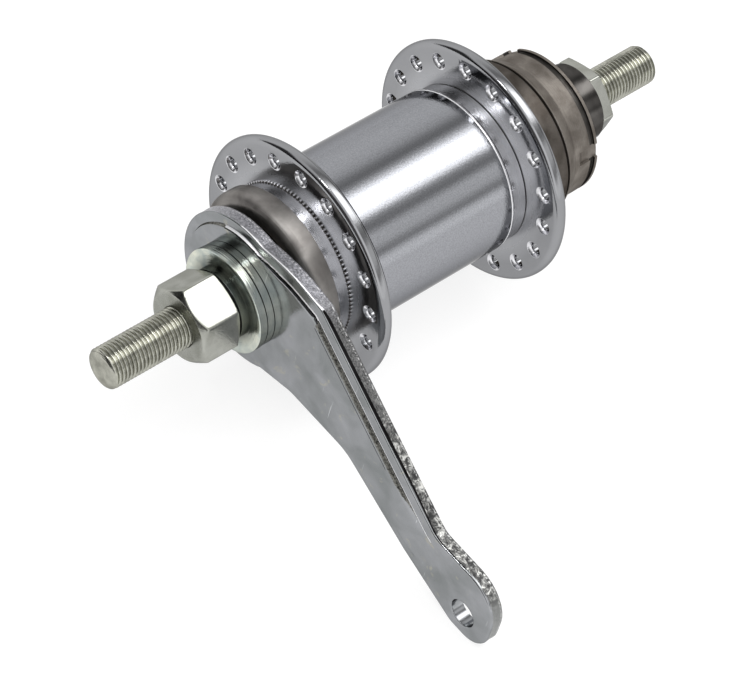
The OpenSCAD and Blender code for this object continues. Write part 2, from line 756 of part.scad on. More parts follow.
module driver() {
    inner_groove_r = cone_ball_r + race_clearance;
    inner_wall_r = cone_pitch_r + inner_groove_r * cos(race_wrap);
    pocket_depth = 1.2;
    pocket_y = cone_ball_y - cone_ball_r - pocket_depth;
    race_shoulder_r = drive_pitch_r - (drive_ball_r + race_clearance) * cos(race_wrap);
    color("#6f6860") difference() {
        union() {
            screw(screw_start_y, screw_end_y + screw_overlap, 0);
            turned([
                [0, screw_end_y], [driver_neck_r, screw_end_y], [driver_neck_r, drive_ball_y],
                [race_shoulder_r, drive_ball_y], [race_shoulder_r, labyrinth_y], [labyrinth_r, labyrinth_y],
                [labyrinth_r, driver_rim_y], [driver_rim_r, driver_rim_y], [seat_r, seat_start_y],
                [seat_r, groove_start_y], [seat_r - snap_groove_depth, groove_start_y],
                [seat_r - snap_groove_depth, lip_start_y], [seat_r, lip_start_y], [seat_r, driver_end_y],
                [0, driver_end_y]
            ]);
        }
        race_groove(drive_pitch_r, drive_ball_y, drive_ball_r + race_clearance);
        around(notch_count, first_notch_angle)
            translate([seat_r - notch_depth, notch_y, -notch_w / 2])
                cube([notch_depth + driver_rim_r, driver_end_y - notch_y + cut, notch_w]);
        disc(driver_bore_r, screw_start_y - cut, driver_end_y + cut);
        disc(inner_wall_r, pocket_y, cone_ball_y);
        race_groove(cone_pitch_r, cone_ball_y, inner_groove_r);
        disc(cone_pitch_r + inner_groove_r, cone_ball_y, driver_end_y + cut);
        disc(dust_cap_r, dust_cap_y, driver_end_y + cut);
    }
}

module driver_dust_cap() {
    color("#57534e") tube(dust_cap_r, right_cone_r + cover_clearance, dust_cap_y, driver_end_y);
}

module clutch_cone() {
    color("#85817b") difference() {
        turned([
            [0, clutch_nose_y], [clutch_nose_r, clutch_nose_y], [clutch_nose_r, brake_taper_y],
            [clutch_r, brake_taper_end_y], [clutch_r, drive_taper_y],
            [clutch_tip_r, drive_taper_end_y], [0, drive_taper_end_y]
        ]);
        screw(clutch_nose_y - cut, drive_taper_end_y + cut, screw_clearance);
    }
}

// A split ring of spring strip with two tabs that sit in the gaps between the shoes
module drag_spring() {
    y_end = spring_y + drag_spring_w;
    tab_w = 2 * (shoe_gap_half - tab_clearance);
    color("#9a978c") difference() {
        union() {
            tube(spring_r + drag_spring_t, spring_r, spring_y, y_end);
            for (side = [0, 180]) rotate([0, side, 0])
                translate([spring_r + drag_spring_t / 2, spring_y, -tab_w / 2])
                    cube([spring_tab_r - spring_r - drag_spring_t / 2, drag_spring_w, tab_w]);
        }
        rotate([0, -90, 0]) translate([0, spring_y - cut, -spring_r * tan(spring_split / 2)])
            cube([spring_r + drag_spring_t + cut, drag_spring_w + 2 * cut, 2 * spring_r * tan(spring_split / 2)]);
    }
}

// Upper half of the pair of shoes: outer face on the drum, a taper at each end inside
module brake_shoe() {
    left_r = expander_r - expander_slope * (shoe_y - expander_y) + shoe_cone_clearance;
    web_r = expander_r - expander_slope * (shoe_web_end_y - expander_y) + shoe_cone_clearance;
    end_r = clutch_nose_r + brake_taper_slope * (shoe_end_y - brake_taper_y) + shoe_clutch_clearance;
    taper_y = shoe_end_y - (end_r - shoe_bore_r) / brake_taper_slope;
    intersection() {
        turned([
            [left_r, shoe_y], [shoe_r, shoe_y], [shoe_r, shoe_end_y], [end_r, shoe_end_y],
            [shoe_bore_r, taper_y], [shoe_bore_r, shoe_web_end_y], [web_r, shoe_web_end_y]
        ]);
        translate([-drum_r, shoe_y - cut, shoe_gap_half])
            cube([2 * drum_r, shoe_end_y - shoe_y + 2 * cut, drum_r]);
    }
}

module brake_shoe_upper() {
    color("#8a7a5c") brake_shoe();
}

module brake_shoe_lower() {
    color("#8a7a5c") mirror([0, 0, 1]) brake_shoe();
}

axle();
brake_arm();
locknut_brake_side();
dished_washer();
flat_washer();
brake_cone();
dust_shield();
right_cone();
locknut_drive_side();
hub_barrel();
flange_brake_side();
flange_drive_side();
bearing_cup_brake_side();
bearing_cup_drive_side();
ball_cage_brake_side();
balls_brake_side();
ball_cage_drive_side();
balls_drive_side();
ball_cage_right_cone();
balls_right_cone();
driver();
driver_dust_cap();
clutch_cone();
drag_spring();
brake_shoe_upper();
brake_shoe_lower();
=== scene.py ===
import json
import math

import bmesh
import bpy
import numpy as np
from mathutils import Matrix, Vector, noise
from mathutils.geometry import delaunay_2d_cdt


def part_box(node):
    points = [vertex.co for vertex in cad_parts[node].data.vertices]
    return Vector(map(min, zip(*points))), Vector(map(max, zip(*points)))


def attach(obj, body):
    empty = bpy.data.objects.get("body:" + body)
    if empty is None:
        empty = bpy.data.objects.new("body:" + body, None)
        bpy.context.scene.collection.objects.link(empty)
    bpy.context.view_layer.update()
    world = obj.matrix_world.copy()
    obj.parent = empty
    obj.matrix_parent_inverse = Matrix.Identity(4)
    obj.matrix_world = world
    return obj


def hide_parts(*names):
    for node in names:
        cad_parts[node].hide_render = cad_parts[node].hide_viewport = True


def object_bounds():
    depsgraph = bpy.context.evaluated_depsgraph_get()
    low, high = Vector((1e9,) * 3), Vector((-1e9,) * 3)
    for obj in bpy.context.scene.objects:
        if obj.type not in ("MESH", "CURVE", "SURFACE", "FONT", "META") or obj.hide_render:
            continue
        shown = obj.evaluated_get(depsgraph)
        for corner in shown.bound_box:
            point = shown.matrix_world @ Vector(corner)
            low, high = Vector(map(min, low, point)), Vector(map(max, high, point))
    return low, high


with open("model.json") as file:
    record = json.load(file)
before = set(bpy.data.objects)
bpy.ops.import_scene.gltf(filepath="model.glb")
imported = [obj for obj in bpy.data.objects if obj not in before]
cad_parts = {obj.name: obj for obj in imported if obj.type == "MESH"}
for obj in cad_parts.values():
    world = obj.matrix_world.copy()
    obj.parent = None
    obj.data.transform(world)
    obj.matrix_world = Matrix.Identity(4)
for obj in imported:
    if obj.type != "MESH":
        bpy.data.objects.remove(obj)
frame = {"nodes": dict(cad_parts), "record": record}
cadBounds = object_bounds()
print("frame loaded")

mm = 0.001
turn = 2 * math.pi


# Outer radius and both ends along the axle of a CAD node, in metres
def span(node):
    low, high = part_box(node)
    return high[0], low[1], high[1]


axleR, axleFromY, axleToY = span("axle")
flangeR, nearFlangeFromY, nearFlangeToY = span("flange_brake_side")
_, farFlangeFromY, farFlangeToY = span("flange_drive_side")
barrelR, barrelFromY, barrelToY = span("hub_barrel")
brakeCupR, brakeCupFromY, _ = span("bearing_cup_brake_side")
driveCupR, _, driveCupToY = span("bearing_cup_drive_side")
driverRimR, _, driverToY = span("driver")
coneR, _, _ = span("right_cone")
_, thinNutFromY, thinNutToY = span("locknut_drive_side")
_, tallNutFromY, _ = span("locknut_brake_side")
dishedR, dishedFromY, dishedToY = span("dished_washer")
flatWasherR, _, flatWasherToY = span("flat_washer")
armLow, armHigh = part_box("brake_arm")
armPanelY, armBackY = armLow[1], armHigh[1]
floorZ = cadBounds[0][2]


# Outlines and meshes

# Points of a polygon whose corners are (u, v, fillet), with an arc at each corner that has a fillet
def rounded(corners):
    degreesPerStep = 12
    points = []
    count = len(corners)
    for i, corner in enumerate(corners):
        here = Vector(corner[:2])
        fillet = corner[2] if len(corner) > 2 else 0
        if fillet == 0:
            points.append(here)
            continue
        before = Vector(corners[(i - 1) % count][:2])
        after = Vector(corners[(i + 1) % count][:2])
        toBefore = (before - here).normalized()
        toAfter = (after - here).normalized()
        half = toBefore.angle(toAfter) / 2
        reach = fillet / math.tan(half)
        middle = here + (toBefore + toAfter).normalized() * fillet / math.sin(half)
        start = here + toBefore * reach - middle
        sweep = start.angle_signed(here + toAfter * reach - middle)
        steps = max(3, math.ceil(abs(math.degrees(sweep)) / degreesPerStep))
        for k in range(steps + 1):
            points.append(middle + Matrix.Rotation(-sweep * k / steps, 2) @ start)
    return points


# The same closed outline with no side longer than the given length
def densified(points, longest):
    out = []
    for i, a in enumerate(points):
        b = points[(i + 1) % len(points)]
        steps = max(1, math.ceil((b - a).length / longest))
        out += [a + (b - a) * k / steps for k in range(steps)]
    return out


def evenAngles(count):
    return [turn * i / count for i in range(count)]


def circle(radius, count, x=0, z=0):
    return [(x + radius * math.cos(a), z + radius * math.sin(a)) for a in evenAngles(count)]


def inMetres(points):
    return [(r * mm, y * mm) for r, y in points]


meshing = {"mergeGap": 5e-7, "sharpDegrees": 50, "cadSharpDegrees": 30, "columns": 160}


# Makes an object from the bmesh: its finishes, the body it rides on and the CAD nodes it stands for
def newPiece(name, bm, finishes, body, nodes=()):
    bmesh.ops.remove_doubles(bm, verts=bm.verts, dist=meshing["mergeGap"])
    bmesh.ops.recalc_face_normals(bm, faces=bm.faces)
    mesh = bpy.data.meshes.new(name)
    bm.to_mesh(mesh)
    bm.free()
    mesh.shade_smooth()
    mesh.set_sharp_from_angle(angle=math.radians(meshing["sharpDegrees"]))
    for finish in finishes:
        mesh.materials.append(materials[finish])
    piece = bpy.data.objects.new(name, mesh)
    bpy.context.scene.collection.objects.link(piece)
    weighted = piece.modifiers.new("weighted_normals", "WEIGHTED_NORMAL")
    weighted.keep_sharp = True
    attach(piece, body)
    if nodes:
        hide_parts(*nodes)
    return piece


# A ring turned about the axle from closed (r, y) points; shape moves a point by its angle
def lathe(profile, angles=None, shape=None):
    bm = bmesh.new()
    columns = []
    for angle in angles or evenAngles(meshing["columns"]):
        column = []
        for r, y in profile:
            if shape:
                r, y = shape(r, y, angle)
            column.append(bm.verts.new((r * math.cos(angle), y, r * math.sin(angle))))
        columns.append(column)
    count = len(profile)
    for column, following in zip(columns, columns[1:] + columns[:1]):
        for k in range(count):
            n = (k + 1) % count
            bm.faces.new((column[k], column[n], following[n], following[k]))
    return bm


def addLoop(bm, points, y):
    return [bm.verts.new((p[0], y, p[1])) for p in points]


# A band of faces between two loops of vertices
def bridged(bm, a, b):
    faces = []
    for i in range(len(a)):
        n = (i + 1) % len(a)
        faces.append(bm.faces.new((a[i], a[n], b[n], b[i])))
    return faces


def inside(point, polygon):
    crossings = False
    x, z = point
    for i, (ax, az) in enumerate(polygon):
        bx, bz = polygon[i - 1]
        if (az > z) != (bz > z) and x < (bx - ax) * (z - az) / (bz - az) + ax:
            crossings = not crossings
    return crossings


# Adds a closed ring to the points and edges of a flat drawing
def addRing(flat, edges, ring):
    start = len(flat)
    flat += ring
    edges += [(start + i, start + (i + 1) % len(ring)) for i in range(len(ring))]


def middleOf(points):
    return sum(points, Vector((0, 0))) / len(points)


# Fills the flat area inside the first loop of vertices and outside the others
def filled(bm, loops, y):
    flat, edges, owners = [], [], []
    for loop in loops:
        addRing(flat, edges, [Vector((v.co.x, v.co.z)) / mm for v in loop])
        owners += loop
    verts, _, faces, origins, _, _ = delaunay_2d_cdt(flat, edges, [], 1, 1e-7)
    made = [owners[o[0]] if o else bm.verts.new((v.x * mm, y, v.y * mm)) for v, o in zip(verts, origins)]
    holes = [[(v.co.x / mm, v.co.z / mm) for v in loop] for loop in loops[1:]]
    for face in faces:
        centre = middleOf([verts[i] for i in face])
        if any(inside(centre, hole) for hole in holes):
            continue
        corners = [made[i] for i in face]
        if len(set(corners)) > 2 and bm.faces.get(corners) is None:
            bm.faces.new(corners)


# Materials

def makeMaterial(name):
    material = bpy.data.materials.new(name)
    material.use_nodes = True
    tree = material.node_tree
    shader = tree.nodes["Principled BSDF"]
    return material, tree, shader


def addNode(tree, kind, inputs=None, **settings):
    node = tree.nodes.new(kind)
    for key, value in settings.items():
        setattr(node, key, value)
    for key, value in (inputs or {}).items():
        if isinstance(value, bpy.types.NodeSocket):
            tree.links.new(value, node.inputs[key])
        else:
            node.inputs[key].default_value = value
    return node


def ramp(tree, factor, stops):
    node = addNode(tree, "ShaderNodeValToRGB", {"Fac": factor})
    elements = node.color_ramp.elements
    while len(elements) < len(stops):
        elements.new(0.5)
    for element, (position, colour) in zip(elements, stops):
        element.position = position
        element.color = (*colour, 1)
    return node.outputs["Color"]


def mapped(tree, value, low, high, toLow, toHigh):
    node = addNode(tree, "ShaderNodeMapRange", {"Value": value, "From Min": low, "From Max": high,
                                                "To Min": toLow, "To Max": toHigh})
    return node.outputs["Result"]


# Goes from 0 to 1 while a place in metres goes through a range in mm
def shareOf(tree, value, fromTo):
    return mapped(tree, value, fromTo[0] * mm, fromTo[1] * mm, 0, 1)


def mixed(tree, share, first, second, blend="MIX"):
    node = addNode(tree, "ShaderNodeMix", {0: share, 6: first, 7: second}, data_type="RGBA", blend_type=blend)
    return node.outputs[2]


def combined(tree, operation, *values):
    return addNode(tree, "ShaderNodeMath", dict(enumerate(values)), operation=operation).outputs["Value"]


def noiseAt(tree, vector, scale, detail, roughness, distortion=0.0):
    node = addNode(tree, "ShaderNodeTexNoise", {"Vector": vector, "Scale": scale, "Detail": detail,
                                                "Roughness": roughness, "Distortion": distortion})
    return node.outputs["Fac"]


def objectPlace(tree):
    return addNode(tree, "ShaderNodeTexCoord").outputs["Object"]


def separated(tree, vector):
    return addNode(tree, "ShaderNodeSeparateXYZ", {"Vector": vector}).outputs


# Coordinates that don't change round the axle, so that noise in them makes turned rings
def turnedPlace(tree, place):
    apart = separated(tree, place)
    flat = addNode(tree, "ShaderNodeCombineXYZ", {"X": apart["X"], "Y": 0.0, "Z": apart["Z"]})
    radius = addNode(tree, "ShaderNodeVectorMath", {0: flat.outputs["Vector"]}, operation="LENGTH")
    joined = addNode(tree, "ShaderNodeCombineXYZ", {"X": radius.outputs["Value"], "Y": apart["Y"], "Z": 0.0})
    return joined.outputs["Vector"]


# Stacks (height, strength, distance) bumps on the shader's normal
def bumped(tree, shader, layers):
    normal = None
    for height, strength, distance in layers:
        inputs = {"Height": height, "Strength": strength, "Distance": distance}
        if normal:
            inputs["Normal"] = normal
        normal = addNode(tree, "ShaderNodeBump", inputs).outputs["Normal"]
    tree.links.new(normal, shader.inputs["Normal"])


# A zone of (inner, outer) radius in mm across which the colour goes from one level to the other, the metal
# duller toward its inside; on the nuts and washers the darker inner level is painted shade
def zoned(tree, look, rings, colour, rough):
    outward = shareOf(tree, separated(tree, rings)["X"], look["zone"])
    inner, outer = look["zoneLevels"]
    level = ramp(tree, outward, [(0, (inner, inner, inner)), (1, (outer, outer, outer))])
    spread = mapped(tree, outward, 0, 1, look["innerRough"], 0)
    return mixed(tree, 1.0, colour, level, "MULTIPLY"), combined(tree, "ADD", rough, spread)


# Faint stains, and thin scratches that run up and down
def stained(tree, look, place, colour):
    spots = noiseAt(tree, place, look["stainScale"], *metal["stain"])
    share = mapped(tree, spots, *look["stainFrom"], 0, look["stainShare"])
    colour = mixed(tree, share, colour, (*look["stain"], 1))
    stretch = (1.0, 1.0, look["scratchStretch"])
    drawn = addNode(tree, "ShaderNodeMapping", {"Vector": place, "Scale": stretch}).outputs["Vector"]
    lines = noiseAt(tree, drawn, look["scratchScale"], *metal["scratch"])
    share = mapped(tree, lines, *look["scratchFrom"], 0, look["scratchShare"])
    return mixed(tree, share, colour, (*look["scratch"], 1))


# What all metals share: each noise's detail, roughness and distortion, the range that holds most of a noise's
# values, the bumps' depth in metres, and the share of the reflection that is left at grazing angles
metal = {"cloud": (3, 0.5, 0.4), "grain": (5, 0.6), "ring": (2, 0.5), "stain": (4, 0.6, 0.8),
         "scratch": (2, 0.5), "noiseFrom": (0.3, 0.7), "grainDepth": 0.0002, "ringDepth": 0.0001,
         "edgeTint": 0.45}


# Plated or bare metal: cloudy colour, uneven polish, fine pits and turned rings
def platedMetal(name, look):
    material, tree, shader = makeMaterial(name)
    place = objectPlace(tree)
    rings = turnedPlace(tree, place)
    cloud = noiseAt(tree, place, look["cloudScale"], *metal["cloud"])
    grain = noiseAt(tree, place, look["grainScale"], *metal["grain"])
    low, high = metal["noiseFrom"]
    colour = ramp(tree, cloud, [(low, look["dark"]), (high, look["light"])])
    rough = mapped(tree, grain, low, high, *look["rough"])
    if "zone" in look:
        colour, rough = zoned(tree, look, rings, colour, rough)
    if "stain" in look:
        colour = stained(tree, look, place, colour)
    tint = metal["edgeTint"]
    shader.inputs["Metallic"].default_value = 1.0
    shader.inputs["Specular Tint"].default_value = (tint, tint, tint, 1)
    tree.links.new(colour, shader.inputs["Base Color"])
    tree.links.new(rough, shader.inputs["Roughness"])
    fine = noiseAt(tree, rings, look["ringScale"], *metal["ring"])
    bumped(tree, shader, [(grain, look["grainBump"], metal["grainDepth"]),
                          (fine, look["ringBump"], metal["ringDepth"])])
    return material


looks = {
    "zinc_axle": {"dark": (0.3, 0.3, 0.26), "light": (0.5, 0.5, 0.44), "cloudScale": 420, "grainScale": 1700,
                  "rough": (0.12, 0.24), "grainBump": 0.15, "ringScale": 6000, "ringBump": 0.05},
    # On the nuts and washers the zone's darker inner level is painted shade: toward the bores, on the dished
    # washer's floor and on the tall nut's neck
    "zinc_nut": {"dark": (0.33, 0.335, 0.30), "light": (0.44, 0.445, 0.41), "cloudScale": 220,
                 "grainScale": 2200, "rough": (0.12, 0.22), "grainBump": 0.1, "ringScale": 5000,
                 "ringBump": 0.03, "zone": (7.4, 8.45), "zoneLevels": (0.9, 1.0), "innerRough": 0.12},
    "zinc_washer": {"dark": (0.42, 0.47, 0.45), "light": (0.74, 0.75, 0.65), "cloudScale": 220,
                    "grainScale": 1800, "rough": (0.11, 0.2), "grainBump": 0.08, "ringScale": 4000,
                    "ringBump": 0.4, "zone": (8.3, 11.0), "zoneLevels": (0.3, 1.0), "innerRough": 0.0},
    "plated_arm": {"dark": (0.25, 0.262, 0.265), "light": (0.36, 0.368, 0.383), "cloudScale": 130,
                   "grainScale": 1500, "rough": (0.1, 0.18), "grainBump": 0.08, "ringScale": 500,
                   "ringBump": 0.0, "stain": (0.46, 0.44, 0.36), "stainScale": 260, "stainFrom": (0.62, 0.72),
                   "stainShare": 0.55, "scratch": (0.62, 0.63, 0.64), "scratchScale": 1150,
                   "scratchFrom": (0.705, 0.75), "scratchShare": 0.6, "scratchStretch": 0.06},
    "arm_groove": {"dark": (0.03, 0.03, 0.027), "light": (0.3, 0.295, 0.27), "cloudScale": 2200,
                   "grainScale": 1500, "rough": (0.3, 0.4), "grainBump": 0.08, "ringScale": 500,
                   "ringBump": 0.0},
    # Near black: painted shade lines in the arm's creases and edges, on the tall nut's neck next to the hex,
    # and in the plain washer's gaps
    "painted_shade_line": {"dark": (0.004, 0.004, 0.004), "light": (0.02, 0.02, 0.02), "cloudScale": 200,
                      "grainScale": 1500, "rough": (0.3, 0.4), "grainBump": 0.08, "ringScale": 500,
                      "ringBump": 0.0},
    "chrome_flange": {"dark": (0.4, 0.405, 0.42), "light": (0.45, 0.455, 0.47), "cloudScale": 60,
                      "grainScale": 2500, "rough": (0.05, 0.1), "grainBump": 0.06, "ringScale": 2500,
                      "ringBump": 0.02, "zone": (20.2, 24.5), "zoneLevels": (1.0, 0.72), "innerRough": 0.25},
    "chrome_barrel": {"dark": (0.275, 0.28, 0.298), "light": (0.36, 0.367, 0.39), "cloudScale": 3200,
                      "grainScale": 2200, "rough": (0.05, 0.11), "grainBump": 0.07, "ringScale": 3500,
                      "ringBump": 0.03},
    # Near white: painted highlight lines along the arm's edges and along the barrel's line
    "painted_highlight": {"dark": (0.8, 0.8, 0.82), "light": (0.9, 0.9, 0.92), "cloudScale": 200, "grainScale": 2200,
                    "rough": (0.35, 0.45), "grainBump": 0.05, "ringScale": 3500, "ringBump": 0.03},
    "band_chrome": {"dark": (0.62, 0.62, 0.64), "light": (0.82, 0.82, 0.85), "cloudScale": 220,
                    "grainScale": 2400, "rough": (0.17, 0.26), "grainBump": 0.04, "ringScale": 3500,
                    "ringBump": 0.12},
    "cup_steel": {"dark": (0.17, 0.16, 0.152), "light": (0.34, 0.325, 0.31), "cloudScale": 160,
                  "grainScale": 1800, "rough": (0.34, 0.47), "grainBump": 0.12, "ringScale": 3000,
                  "ringBump": 0.4},
    "dark_cup": {"dark": (0.065, 0.056, 0.048), "light": (0.125, 0.112, 0.1), "cloudScale": 260,
                 "grainScale": 2000, "rough": (0.36, 0.5), "grainBump": 0.2, "ringScale": 3000,
                 "ringBump": 0.6},
    "bare_steel": {"dark": (0.15, 0.133, 0.117), "light": (0.27, 0.247, 0.222), "cloudScale": 260,
                   "grainScale": 2000, "rough": (0.48, 0.62), "grainBump": 0.25, "ringScale": 3000,
                   "ringBump": 0.6},
    "cone_steel": {"dark": (0.03, 0.028, 0.026), "light": (0.1, 0.095, 0.09), "cloudScale": 160,
                   "grainScale": 1400, "rough": (0.1, 0.18), "grainBump": 0.05, "ringScale": 4000,
                   "ringBump": 0.1},
    "ball_steel": {"dark": (0.5, 0.505, 0.51), "light": (0.6, 0.605, 0.61), "cloudScale": 300,
                   "grainScale": 2500, "rough": (0.05, 0.09), "grainBump": 0.01, "ringScale": 500,
                   "ringBump": 0.0},
    "cage_steel": {"dark": (0.25, 0.245, 0.23), "light": (0.4, 0.39, 0.37), "cloudScale": 300,
                   "grainScale": 1800, "rough": (0.3, 0.45), "grainBump": 0.1, "ringScale": 4000,
                   "ringBump": 0.1},
    # Dark steel of the dust caps, also used on the driver's groove; it is also painted shade in the barrel's
    # seam and between the knurl's teeth
    "shield_steel": {"dark": (0.05, 0.045, 0.04), "light": (0.1, 0.095, 0.09), "cloudScale": 300,
                     "grainScale": 1800, "rough": (0.3, 0.45), "grainBump": 0.1, "ringScale": 4000,
                     "ringBump": 0.1},
    "shoe_steel": {"dark": (0.16, 0.135, 0.10), "light": (0.26, 0.235, 0.19), "cloudScale": 300,
                   "grainScale": 2200, "rough": (0.4, 0.55), "grainBump": 0.3, "ringScale": 4000,
                   "ringBump": 0.2}}
materials = {name: platedMetal(name, look) for name, look in looks.items()}


# The arm's cut edge: light torn grain by the head, darker along the arm, bright blobs toward the tip, plain
# round the tip, and a speckled burr line near the back; a noise is its scale, detail, roughness and distortion
sheared = {
    "light": [(0.36, (0.12, 0.12, 0.13)), (0.5, (0.24, 0.24, 0.26)), (0.66, (0.5, 0.5, 0.53))],
    "torn": [(0.36, (0.05, 0.05, 0.05)), (0.5, (0.13, 0.13, 0.13)), (0.68, (0.3, 0.3, 0.3))],
    "burst": [(0.42, (0.06, 0.06, 0.06)), (0.52, (0.2, 0.2, 0.195)), (0.64, (0.78, 0.78, 0.75))],
    "plain": [(0.3, (0.2, 0.205, 0.2)), (0.7, (0.29, 0.295, 0.29))],
    "burr": [(0.5, (0.0, 0.0, 0.0)), (0.58, (1.0, 1.0, 1.0))],
    "lightToTornX": (18, 26), "tornToBurstX": (36, 50), "plainZ": (-11.5, -14.5),
    "burrDepth": 0.45, "burrHalf": 0.16, "burrColour": (0.8, 0.8, 0.8, 1),
    "grainNoise": (2600, 5, 0.7, 0.3), "blobNoise": (800, 5, 0.7, 0.8), "speckleNoise": (1900, 3, 0.6),
    "rough": (0.25, 0.5), "bump": 0.3, "blobDepth": 0.0005, "grainDepth": 0.0002}


def shearedEdge():
    material, tree, shader = makeMaterial("sheared_edge")
    place = objectPlace(tree)
    apart = separated(tree, place)
    grain = noiseAt(tree, place, *sheared["grainNoise"])
    blobs = noiseAt(tree, place, *sheared["blobNoise"])
    toTorn = shareOf(tree, apart["X"], sheared["lightToTornX"])
    toTip = shareOf(tree, apart["X"], sheared["tornToBurstX"])
    aroundTip = shareOf(tree, apart["Z"], sheared["plainZ"])
    colour = ramp(tree, grain, sheared["light"])
    for share, stops, factor in ((toTorn, "torn", grain), (toTip, "burst", blobs), (aroundTip, "plain", grain)):
        colour = mixed(tree, share, colour, ramp(tree, factor, sheared[stops]))
    burrY = armBackY - sheared["burrDepth"] * mm
    offBurr = combined(tree, "ABSOLUTE", combined(tree, "SUBTRACT", apart["Y"], burrY))
    onBurr = mapped(tree, offBurr, 0, sheared["burrHalf"] * mm, 1, 0)
    speckle = ramp(tree, noiseAt(tree, place, *sheared["speckleNoise"]), sheared["burr"])
    colour = mixed(tree, combined(tree, "MULTIPLY", onBurr, speckle), colour, sheared["burrColour"])
    shader.inputs["Metallic"].default_value = 1.0
    tree.links.new(colour, shader.inputs["Base Color"])
    tree.links.new(mapped(tree, grain, *metal["noiseFrom"], *sheared["rough"]), shader.inputs["Roughness"])
    bumped(tree, shader, [(blobs, sheared["bump"], sheared["blobDepth"]),
                          (grain, sheared["bump"], sheared["grainDepth"])])
    return material


materials["sheared_edge"] = shearedEdge()
print("materials made")


# Axle with both threaded ends

axle = {"pitch": 0.977, "depth": 0.56, "crest": 0.34, "root": 0.16, "tipR": 3.45, "tipRound": 1.0,
        "shankR": 4.1, "overlap": 0.8, "samples": 10, "columns": 56, "shankColumns": 48}


# Height of the thread from root 0 to crest 1 at a phase from 0 to 1
def threadHeight(phase):
    crest, root = axle["crest"] / 2, axle["root"] / 2
    distance = abs(phase - 0.5)
    if distance < crest:
        return 1.0
    if distance > 0.5 - root:
        return 0.0
    return (0.5 - root - distance) / (0.5 - root - crest)


# One helical skin of thread from fromY to toY, closed at both ends; the one at tipY is rounded
def threadedEnd(bm, fromY, toY, tipY):
    pitch, tipR = axle["pitch"] * mm, axle["tipR"] * mm
    samples, columns = axle["samples"], axle["columns"]
    rows = int((toY - fromY) / pitch + 2) * samples
    grid = []
    for s in range(columns + 1):
        column = []
        for k in range(-samples, rows):
            free = fromY + pitch * (k / samples + s / columns)
            y = min(max(free, fromY), toY)
            phase = (k / samples + (y - free) / pitch) % 1
            r = axleR - (1 - threadHeight(phase)) * axle["depth"] * mm
            inward = min(abs(tipY - y) / (axle["tipRound"] * mm), 1)
            r = min(r, tipR + (axleR - tipR) * math.sqrt(1 - (1 - inward) ** 2))
            angle = turn * s / columns
            column.append(bm.verts.new((r * math.cos(angle), y, r * math.sin(angle))))
        grid.append(column)
    for a, b in zip(grid, grid[1:]):
        for k in range(len(a) - 1):
            bm.faces.new((a[k], a[k + 1], b[k + 1], b[k]))
    for row, y in ((0, fromY), (-1, toY)):
        centre = bm.verts.new((0, y, 0))
        for a, b in zip(grid, grid[1:]):
            bm.faces.new((a[row], b[row], centre))


def makeAxle():
    shankR, overlap = axle["shankR"] * mm, axle["overlap"] * mm
    shank = [(0, tallNutFromY), (shankR, tallNutFromY), (shankR, thinNutToY), (0, thinNutToY)]
    bm = lathe(shank, evenAngles(axle["shankColumns"]))
    threadedEnd(bm, axleFromY, tallNutFromY + overlap, axleFromY)
    threadedEnd(bm, thinNutToY - overlap, axleToY, axleToY)
    newPiece("threaded_axle", bm, ["zinc_axle"], "axle_and_arm", ["axle"])


makeAxle()
print("axle made")


# Locknuts

tallNut = {"corner": 40.6, "hexBack": -48.75, "chamfer": 1.5, "land": 0.35, "faceRound": 0.15,
           "backChamfer": 0.5, "backRound": 0.1, "neckR": 8.3, "neckFloor": -46.0, "shadowBand": 0.7,
           "neckMargin": 0.05, "longest": 0.35}
thinNut = {"corner": 17.2, "chamfer": 0.4, "land": 0.1, "faceRound": 0.12, "backChamfer": 0.25, "backLand": 1.0,
           "backRound": 0.08, "longest": 0.3}
nuts = {"flats": 17.0, "cornerPower": 90, "softness": 0.07, "overhang": 0.1, "bore": 4.2, "boreChamfer": 0.7,
        "boreRound": 0.08, "columns": 240}


# Radius of the hexagon in a direction, its corners slightly rounded
def hexRadius(angle, corner):
    total = 0
    for k in range(6):
        toFlat = math.radians(corner + 30 + 60 * k)
        total += max(0.0, math.cos(angle - toFlat)) ** nuts["cornerPower"]
    return nuts["flats"] / 2 * mm / total ** (1 / nuts["cornerPower"])


# Cuts a turned profile down to the hexagon, with a soft edge between the two
def hexShape(corner):
    softness = nuts["softness"] * mm

    def shape(r, y, angle):
        limit = hexRadius(angle, corner)
        if r < limit - 8 * softness:
            return r, y
        return min(r, limit) - softness * math.log(1 + math.exp(-abs(r - limit) / softness)), y
    return shape


def makeTallNut():
    flat = nuts["flats"] / 2
    corner = flat / math.cos(math.radians(30)) + nuts["overhang"]
    front, back, floorY = tallNutFromY / mm, tallNut["hexBack"], tallNut["neckFloor"]
    bore, chamfer, neckR = nuts["bore"], nuts["boreChamfer"], tallNut["neckR"]
    profile = rounded([
        (bore, floorY), (bore, front + chamfer), (bore + chamfer, front, nuts["boreRound"]),
        (flat - tallNut["land"], front, tallNut["faceRound"]), (corner, front + tallNut["chamfer"]),
        (corner, back - tallNut["backChamfer"]), (flat, back, tallNut["backRound"]), (neckR, back),
        (neckR, floorY)])
    profile = inMetres(densified(profile, tallNut["longest"]))
    bm = lathe(profile, evenAngles(nuts["columns"]), hexShape(tallNut["corner"]))
    finishes = ["zinc_nut", "zinc_washer", "painted_shade_line"]
    piece = newPiece("tall_locknut", bm, finishes, "axle_and_arm", ["locknut_brake_side"])
    # The neck is painted shade: black for a band next to the hex, then washer zinc whose zone makes it dark
    margin = tallNut["neckMargin"]
    for face in piece.data.polygons:
        place = face.center / mm
        if place.y > back - margin and math.hypot(place.x, place.z) < neckR + margin:
            face.material_index = 2 if place.y < back + tallNut["shadowBand"] else 1


